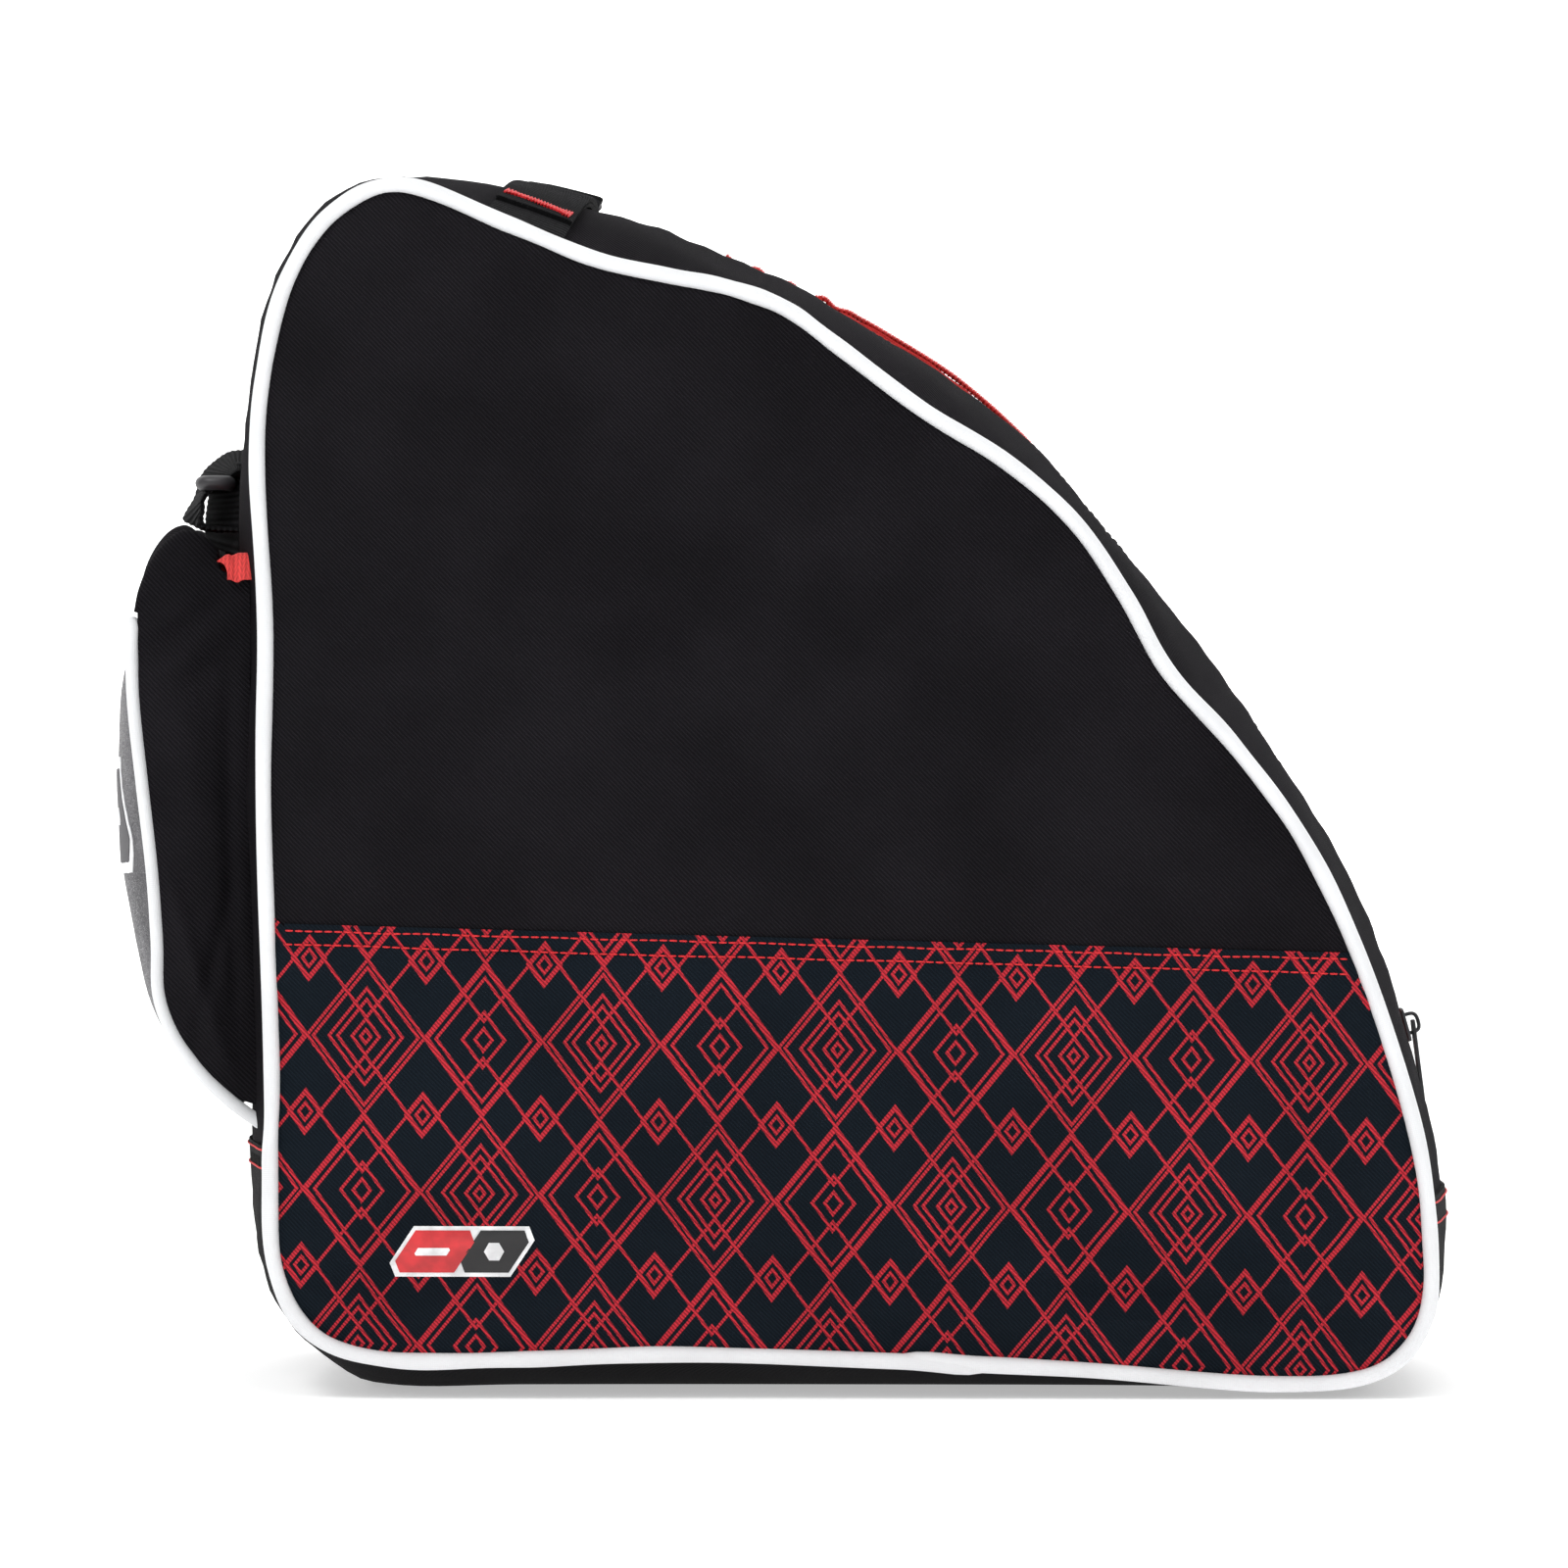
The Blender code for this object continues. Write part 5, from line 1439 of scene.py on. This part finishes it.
def make_pocket_face():
    grid, cloth = face_grid()
    piece = sheet_object("pocket_face", grid, FABRIC, LOOKS["grey"], cloth)
    finish_piece(piece, "body", "grey_face", "pocket_face")
    rows, _ = face_rows()
    off = 2.6
    side_run = [(x - 0.2, -FACE_Y - off, z) for x, z in rows[:0:-1, :2]]
    side_run = [(-180.6, -FACE_Y - off, 82.4), (-185.0, -FACE_Y - off, 85.4)] + side_run
    (top_x, top_z, _), turn = rows[0], np.radians(np.linspace(0, 80, 5))
    corner = [(top_x, -FACE_Y - off * math.cos(a), top_z + off * math.sin(a)) for a in turn]
    shares = np.linspace(-0.93, 0.93, 30)
    top_run = [(top_x - 5.0 * (1 - abs(s) ** 2.2), s * FACE_Y, top_z + off) for s in shares]
    run = side_run + corner
    path = np.array(run + top_run + [(x, -y, z) for x, y, z in run[::-1]])
    piping = tube_object("pocket_piping", path, POCKET_PIPING_R + 0.1, LOOKS["white"], sides=14)
    finish_piece(piping, "body", "white_piping", "pocket_piping")


def pocket_front_x(z):
    rows, _ = face_rows()
    order = np.argsort(rows[:, 1])
    return np.interp(z, rows[order, 1], rows[order, 0])


def pocket_back_x(z):
    """Where the pocket's side meets the bag's front."""
    u = np.linspace(0.1, 5.5, 60)
    line = shell(u, np.full_like(u, POCKET_HALF + 1.0))
    return np.interp(z, line[:, 2], line[:, 0]) + 0.8


WALL_Y = POCKET_HALF + 0.6  # the side walls' flat part
LIP_STATIONS = np.linspace(0, len(LIP) - 1, 34)
LIP_GORE = 50.0  # where the lip's ends begin, which hold it to the walls
LIP_SPAN = 67.6  # half the lip's width, up to the shoulders' rounding


def shoulder_curve():
    """The shoulder's outer curve in x and z, from the lip's front over its top, an inner one and the gap."""
    over, _ = catmull(LIP_END, LIP_STATIONS, closed=False)
    behind, _ = catmull(SHOULDER_BACK, np.linspace(0, len(SHOULDER_BACK) - 1, 22)[1:], closed=False)
    curve = np.concatenate([over, behind])
    t = np.linspace(0, 1, len(curve))
    fade = 1 - 0.75 * smoothstep((t - 0.66) / 0.34)
    radius = 1.2 + (WALL_Y - LIP_SPAN - 1.2) * smoothstep(t / 0.18) * fade
    ahead = unit(np.gradient(curve, axis=0))
    outward = np.column_stack([-ahead[:, 1], ahead[:, 0]])
    return curve, softened(curve - outward * radius[:, None]), radius


def softened(curve):
    """The curve with its tight bends eased and its ends kept."""
    for _ in range(60):
        curve[1:-1] = 0.25 * curve[:-2] + 0.5 * curve[1:-1] + 0.25 * curve[2:]
    return curve


def ridge(x, z, at, slope, height, width):
    """A straight fold through a place, rising at a slope in degrees."""
    a = math.radians(slope)
    distance = (z - at[1]) * math.cos(a) - (x - at[0]) * math.sin(a)
    return height * np.exp(-((distance / width) ** 2))


def wall_folds(x, z, side):
    """The stuffed pocket's side: folds under the shoulder, one beside the bag and a forked one lower down."""
    top = smoothstep((z - 205) / 24)
    y = ridge(x, z, (-204, 250.6), -5, -1.7, 1.8) * smoothstep((x + 216) / 8)
    y += top * (ridge(x, z, (-203, 243.5), 30, 1.8, 4.6) + ridge(x, z, (-203, 235), 34, -1.7, 3.4))
    y += top * (ridge(x, z, (-203, 227), 38, 1.6, 5) + ridge(x, z, (-202, 217), 42, -1.3, 4))
    body = smoothstep((z - 100) / 30) * smoothstep((240 - z) / 30)
    y += body * -1.6 * np.exp(-(((x - pocket_back_x(z) + 6.0) / 2.6) ** 2))
    fork = smoothstep((170 - z) / 24) * smoothstep((z - 92) / 12)
    y += fork * (ridge(x, z, (-200, 128), 108, 1.7, 3.4) + ridge(x, z, (-196, 128), 76, -1.3, 2.6))
    return y + 0.35 * waves(x, z, 95 + side, 26, angle=0.8, spread=1.2)


def make_pocket_walls():
    top, inset, radius = shoulder_curve()
    t = np.linspace(0, 1, len(top))
    s = np.linspace(0, 1, 80)[:, None]
    low = np.column_stack([-203.5 + 16.0 * t, 88.0 + 5.5 * (1 - t) ** 1.5])
    front_z = low[0, 1] + (inset[0, 1] - low[0, 1]) * s[:, 0]
    front_x = pocket_front_x(np.clip(front_z, 88.6, 234)) + 0.8
    front_x += (inset[0, 0] - front_x) * smoothstep((front_z - 226) / 12)
    back_z = low[-1, 1] + (inset[-1, 1] - low[-1, 1]) * s[:, 0]
    front = np.column_stack([front_x, front_z])
    back = np.column_stack([pocket_back_x(back_z), back_z])
    low = low + (front[0] - low[0]) * (1 - t[:, None]) + (back[0] - low[-1]) * t[:, None]
    inset = inset + (back[-1] - inset[-1]) * (t[:, None] ** 8)
    flat = front[:, None] * (1 - t[:, None]) + back[:, None] * t[:, None]
    flat = flat + low * (1 - s[..., None]) + inset * s[..., None]
    flat -= (1 - s[..., None]) * (front[0] * (1 - t[:, None]) + back[0] * t[:, None])
    flat -= s[..., None] * (inset[0] * (1 - t[:, None]) + inset[-1] * t[:, None])
    for side, word in SIDES:
        x, z = flat[..., 0], flat[..., 1]
        tt, ss = np.broadcast_to(t, x.shape), np.broadcast_to(s, x.shape)
        room = np.sin(math.pi * tt) ** 0.7 * np.sin(math.pi * np.clip(ss, 0.0, 1.0)) ** 0.5
        y = WALL_Y + room * (3.0 + 1.5 * wall_folds(x, z, side))
        rows = [np.stack([x, y, z], -1)]
        for angle in np.radians((12, 24, 36, 48, 60, 72, 82, 90)):
            edge = inset + (top - inset) * math.sin(angle)
            depth = WALL_Y - radius * (1 - math.cos(angle))
            rows.append(np.stack([edge[:, 0], depth, edge[:, 1]], -1)[None])
        grid = np.concatenate(rows)
        grid[..., 1] *= side
        if side == NEAR:
            grid = grid[:, ::-1]
        cloth = np.stack([grid[..., 2] + 0 * grid[..., 0], grid[..., 0]], -1)
        piece = sheet_object("pocket_wall_" + word, grid, FABRIC, LOOKS["gusset"], cloth)
        fix_winding(piece)
        finish_piece(piece, "body", "black_fabric", "pocket_wall_" + word)


def lip_part_blend(piece, part):
    """Works out a linear function of place that grows away from the lip's front seam and falls towards its
    ends, and bakes the piece's placement. part is -1, 0 or 1.
    """
    pivot = np.array(JOINTS["pocket_lip_open"]["pos_m"]) / MM
    along = np.array([31.0, 0.0, 16.2])
    reach = np.linalg.norm(along)
    gradient = along / reach / (0.8 * reach)
    constant = -gradient @ pivot - 0.05
    if part:
        fall = 1.35 / (LIP_SPAN - LIP_GORE)
        gradient = gradient + np.array([0.0, -part * fall, 0.0])
        constant += fall * LIP_GORE
    blend_linear(piece, gradient)


LIP_PARTS = ((-1, "near"), (0, "middle"), (1, "far"))


def make_pocket_lip():
    _, _, radius = shoulder_curve()
    end_y = WALL_Y - radius[: len(LIP_STATIONS)]
    gore = np.linspace(0, 1, 18)
    middle = np.linspace(-LIP_GORE, LIP_GORE, 71)
    columns = [(-1, g) for g in gore[::-1]] + [(0, y) for y in middle[1:-1]] + [(1, g) for g in gore]
    grid = np.zeros((len(LIP_STATIONS), len(columns), 3))
    for j, (part, value) in enumerate(columns):
        flat_y = value if part == 0 else part * (LIP_GORE + (LIP_SPAN - LIP_GORE) * value)
        profile, _ = catmull(lip_outline(flat_y / LIP_SPAN), LIP_STATIONS, closed=False)
        y = np.full(len(LIP_STATIONS), flat_y)
        if part:
            y = part * (LIP_GORE + (end_y - LIP_GORE) * value)
        grid[:, j] = np.column_stack([profile[:, 0], y, profile[:, 1]])
    cloth = np.stack([np.broadcast_to(LIP_STATIONS[:, None] * 6.0, grid.shape[:2]), grid[..., 1]], -1)
    normals = grid_normals(grid)
    if normals[len(LIP_STATIONS) // 2, 20, 2] < 0:
        grid, cloth = grid[:, ::-1], cloth[:, ::-1]
        normals = grid_normals(grid)
    free = smoothstep((LIP_SPAN - np.abs(grid[..., 1])) / 10)
    free = free * np.sin(np.linspace(0, math.pi, len(grid)))[:, None]
    gather = 0.4 * waves(cloth[..., 0] * 0.3, cloth[..., 1], 97, 15, angle=math.pi / 2, spread=0.6)
    grid = grid + normals * (gather * free)[..., None]
    normals = grid_normals(grid)
    y = grid[0, :, 1]
    for part, label in LIP_PARTS:
        inside = np.nonzero(np.abs(y) <= LIP_GORE + 1e-6 if part == 0 else part * y >= LIP_GORE - 1e-6)[0]
        columns = slice(inside.min(), inside.max() + 1)
        piece = sheet_object("pocket_lip_" + label, grid[:, columns], FABRIC, LOOKS["gusset"],
                             cloth[:, columns], normals=normals[:, columns])  # fmt: skip
        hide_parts("pocket_lip")
        lip_part_blend(piece, part)


TAPE_INNER = 0.9


def front_tape(part):
    """The tape's front half in the same three lengths as the lip."""
    low, high = {-1: (-64.5, -LIP_GORE), 0: (-LIP_GORE, LIP_GORE), 1: (LIP_GORE, 64.5)}[part]
    xs, ys = np.linspace(POCKET_ZIP_X - 5.6, POCKET_ZIP_X - TAPE_INNER, 7), across_values(low, high, 1.0)
    x, y = np.meshgrid(xs, ys, indexing="ij")
    return np.stack([x, y, POCKET_ZIP_Z + zip_ripple(y)], -1)


def zip_ripple(y):
    return 0.3 * np.sin(2 * math.pi * y / 9.5) * smoothstep((58 - np.abs(y)) / 10)


def back_tape():
    """The tape's back half, whose ends rise, fold over the walls' top edges and hang down outside them."""
    ys = across_values(-75.6, 75.6, 0.7)
    edge = shell(u_of_front(POCKET_ZIP_Z), ys)[:, 0]
    share = np.linspace(0, 1, 14)[:, None]
    start = POCKET_ZIP_X + TAPE_INNER + 4.6 * smoothstep((np.abs(ys) - 70.0) / 5.0)
    x = start + (np.maximum(edge + 2.5, -185.0) - start) * share
    out = np.abs(ys)
    rise = 2.9 * np.exp(-(((out - 70.0) / 3.4) ** 2)) * smoothstep((x + 195.5) / 5.5)
    fall = 5.6 * np.clip((out - 71.5) / 4.1, 0, 1) ** 1.6
    fold = -0.9 * np.exp(-(((x + 189.6 - 0.35 * (out - 70)) / 1.1) ** 2)) * smoothstep((out - 62) / 8)
    z = POCKET_ZIP_Z + zip_ripple(ys) + rise - fall + fold
    return np.stack([x, np.broadcast_to(ys, x.shape), z], -1)


def make_pocket_zip():
    x0, z0, half = POCKET_ZIP_X, POCKET_ZIP_Z, POCKET_ZIP_HALF
    for part, label in LIP_PARTS:
        tape_piece(front_tape(part), "pocket_tape_front_" + label, "pocket_tape_front", part)
        coil_piece("pocket_coil_front_" + label, -1, "pocket_coil_front", part)
    tape_piece(back_tape(), "pocket_tape_back_whole", "pocket_tape_back", None)
    coil_piece("pocket_coil_back_whole", 1, "pocket_coil_back", None)
    turn = Matrix(((0, -1, 0, 0), (1, 0, 0, 0), (0, 0, 1, 0), (0, 0, 0, 1)))
    place = Matrix.Translation((x0 * MM, (half - 6.0) * MM, z0 * MM)) @ turn
    slider, pivot = slider_piece("pocket_slider", place, 2.1, -1.3, width=0.77)
    finish_piece(slider, "pocket_slider", "zip_metal", "pocket_slider")
    flip = Matrix.Rotation(math.pi, 4, "Z") @ Matrix.Rotation(math.radians(-13), 4, "Y")
    puller = puller_piece("pocket_puller", place @ Matrix.Translation((0, 0, pivot * MM)) @ flip)
    finish_piece(puller, "pocket_puller", "zip_metal", "pocket_puller")


def u_of_front(z):
    u = np.linspace(0.1, 5.5, 60)
    return float(np.interp(z, shell(u, 0.0)[:, 2], u))


def zip_part(piece, node, part):
    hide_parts(node)
    if part is None:
        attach(piece, "body")
    else:
        lip_part_blend(piece, part)


def tape_piece(grid, name, node, part):
    if grid_normals(grid)[3, grid.shape[1] // 2, 2] < 0:
        grid = grid[:, ::-1]
    cloth = np.stack([grid[..., 1], grid[..., 0]], -1)
    zip_part(sheet_object(name, grid, TAPE, LOOKS["tape"], cloth), node, part)


def coil_piece(name, direction, node, part):
    """Loops of one side of the pocket's coil, those within one of the lip's lengths or all of them."""
    x0, z0, half = POCKET_ZIP_X, POCKET_ZIP_Z, POCKET_ZIP_HALF
    loops = []
    outline = [(4.0, 0.45), (2.4, 0.8), (0.8, 0.95), (0.35, 0.65), (0.8, 0.35), (1.8, 0.3)]
    for k in range(int((2 * half - 14) / COIL_PITCH)):
        y = -half + 1.8 + (k + (0.5 if direction > 0 else 0)) * COIL_PITCH
        if part is None or part == (0 if abs(y) <= LIP_GORE else math.copysign(1, y)):
            z = z0 + float(zip_ripple(y))
            loops.append((np.array([(x0 + direction * a, y, z + b) for a, b in outline]), (0, 1, 0)))
    zip_part(wire_loops(name, loops, 0.38), node, part)


# ---- generic emblems ----
def badge_patch(name, outline, surface, look, lift):
    """A thin raised patch over an outline in two coordinates. surface gives points a way above the cloth."""
    dense, step = [], 2.0
    for a, b in zip(outline, np.roll(outline, -1, axis=0)):
        count = max(1, int(np.linalg.norm(b - a) / step))
        dense += [a + (b - a) * k / count for k in range(count)]
    dense = np.array(dense)
    low, high = dense.min(axis=0), dense.max(axis=0)
    inner = [(x, z) for x in np.arange(low[0], high[0], step) for z in np.arange(low[1], high[1], step)
             if point_in((x, z), outline, 0.7)]  # fmt: skip
    edges = [(i, (i + 1) % len(dense)) for i in range(len(dense))]
    flat, found = triangulated([*dense, *inner], edges)
    faces = [face for face in found if point_in(flat[face].mean(axis=0), outline)]
    count = len(flat)
    solid = faces + [[i + count for i in f[::-1]] for f in faces] + rim(faces, count)
    piece = new_object(name, np.concatenate([surface(flat, lift), surface(flat, -0.3)]), solid, look)
    fix_winding(piece)
    return piece


def point_in(point, outline, margin=0.0):
    """Whether a point lies inside an outline, more than a margin from its edge."""
    x, z = point
    a, b = np.asarray(outline), np.roll(outline, -1, axis=0)
    crossing = (a[:, 1] > z) != (b[:, 1] > z)
    with np.errstate(divide="ignore", invalid="ignore"):
        at = a[:, 0] + (b[:, 0] - a[:, 0]) * (z - a[:, 1]) / (b[:, 1] - a[:, 1])
    if np.count_nonzero(crossing & (at > x)) % 2 == 0:
        return False
    if margin:
        step = b - a
        t = np.clip(np.sum((np.array(point) - a) * step, axis=1) / np.sum(step**2, axis=1), 0, 1)
        return np.linalg.norm(np.array(point) - a - t[:, None] * step, axis=1).min() > margin
    return True


def slanted(low, high, half_height, cut):
    """A parallelogram that leans, with two clipped corners."""
    s = 0.55 * half_height
    step_z = half_height * 0.45
    return [(low - s + cut, -half_height), (high - s, -half_height), (high + s - cut * 0.4, step_z),
            (high + s - cut, half_height), (low + s, half_height), (low - s + cut * 0.4, -step_z)]  # fmt: skip


def emblem_shapes(scale):
    """A leaning two-tone badge with a light border, a plain stripe and a hexagon."""
    spot = [(10.8 + 3.4 * c, 3.5 * s) for c, s in round_the_clock(6)]
    shapes = (
        ("border", slanted(-21, 21, 8.6, 3.0), "badge_white", 0.3),
        ("red", slanted(-19.6, 1.2, 7.2, 2.4), "badge_red", 0.55),
        ("black", slanted(2.4, 19.6, 7.2, 2.4), "badge_black", 0.55),
        ("stripe", slanted(-15.5, -4.5, 1.3, 0.6), "badge_white", 0.8),
        ("hexagon", spot, "badge_white", 0.8),
    )
    return [(name, np.array(shape) * scale, look, lift) for name, shape, look, lift in shapes]


def make_emblems(heights):
    for side, word in SIDES:
        points, top = heights[side]
        centre = np.array((-117.0, 45.0))

        def on_panel(flat, lift):
            flip = 1 if side == NEAR else -1
            where = centre + flat * (flip, 1)
            y = height_on(points, top, where) + lift
            return np.column_stack([where[:, 0], side * y, where[:, 1]])

        pieces = [badge_patch(f"emblem_{name}_{word}", shape, on_panel, LOOKS[look], lift)
                  for name, shape, look, lift in emblem_shapes(0.9)]  # fmt: skip
        finish_piece(joined("side_emblem_" + word, pieces), "body", "white_piping")

    grid, cloth = face_grid()
    flat_cloth = cloth.reshape(-1, 2)
    flat_grid, flat_normals = grid.reshape(-1, 3), grid_normals(grid).reshape(-1, 3)

    def on_face(flat, lift):
        raised = flat_grid + flat_normals * lift
        found = (nearest_shares(flat_cloth, (56 - b, a), 0.05) for a, b in flat)
        return np.array([shares @ raised[nearest] for nearest, shares in found])

    pieces = []
    for name, shape, look, lift in emblem_shapes(2.1):
        look = "grey" if name == "red" else look
        pieces.append(badge_patch(f"emblem_{name}_face", shape, on_face, LOOKS[look], lift))
    finish_piece(joined("pocket_emblem", pieces), "body", "white_piping")


make_studio()
panel_heights = make_panels()
make_piping()
make_gusset()
make_flaps()
make_main_slider()
make_top_band()
make_front_loop()
make_pocket_face()
make_pocket_walls()
make_pocket_lip()
make_pocket_zip()
make_emblems(panel_heights)
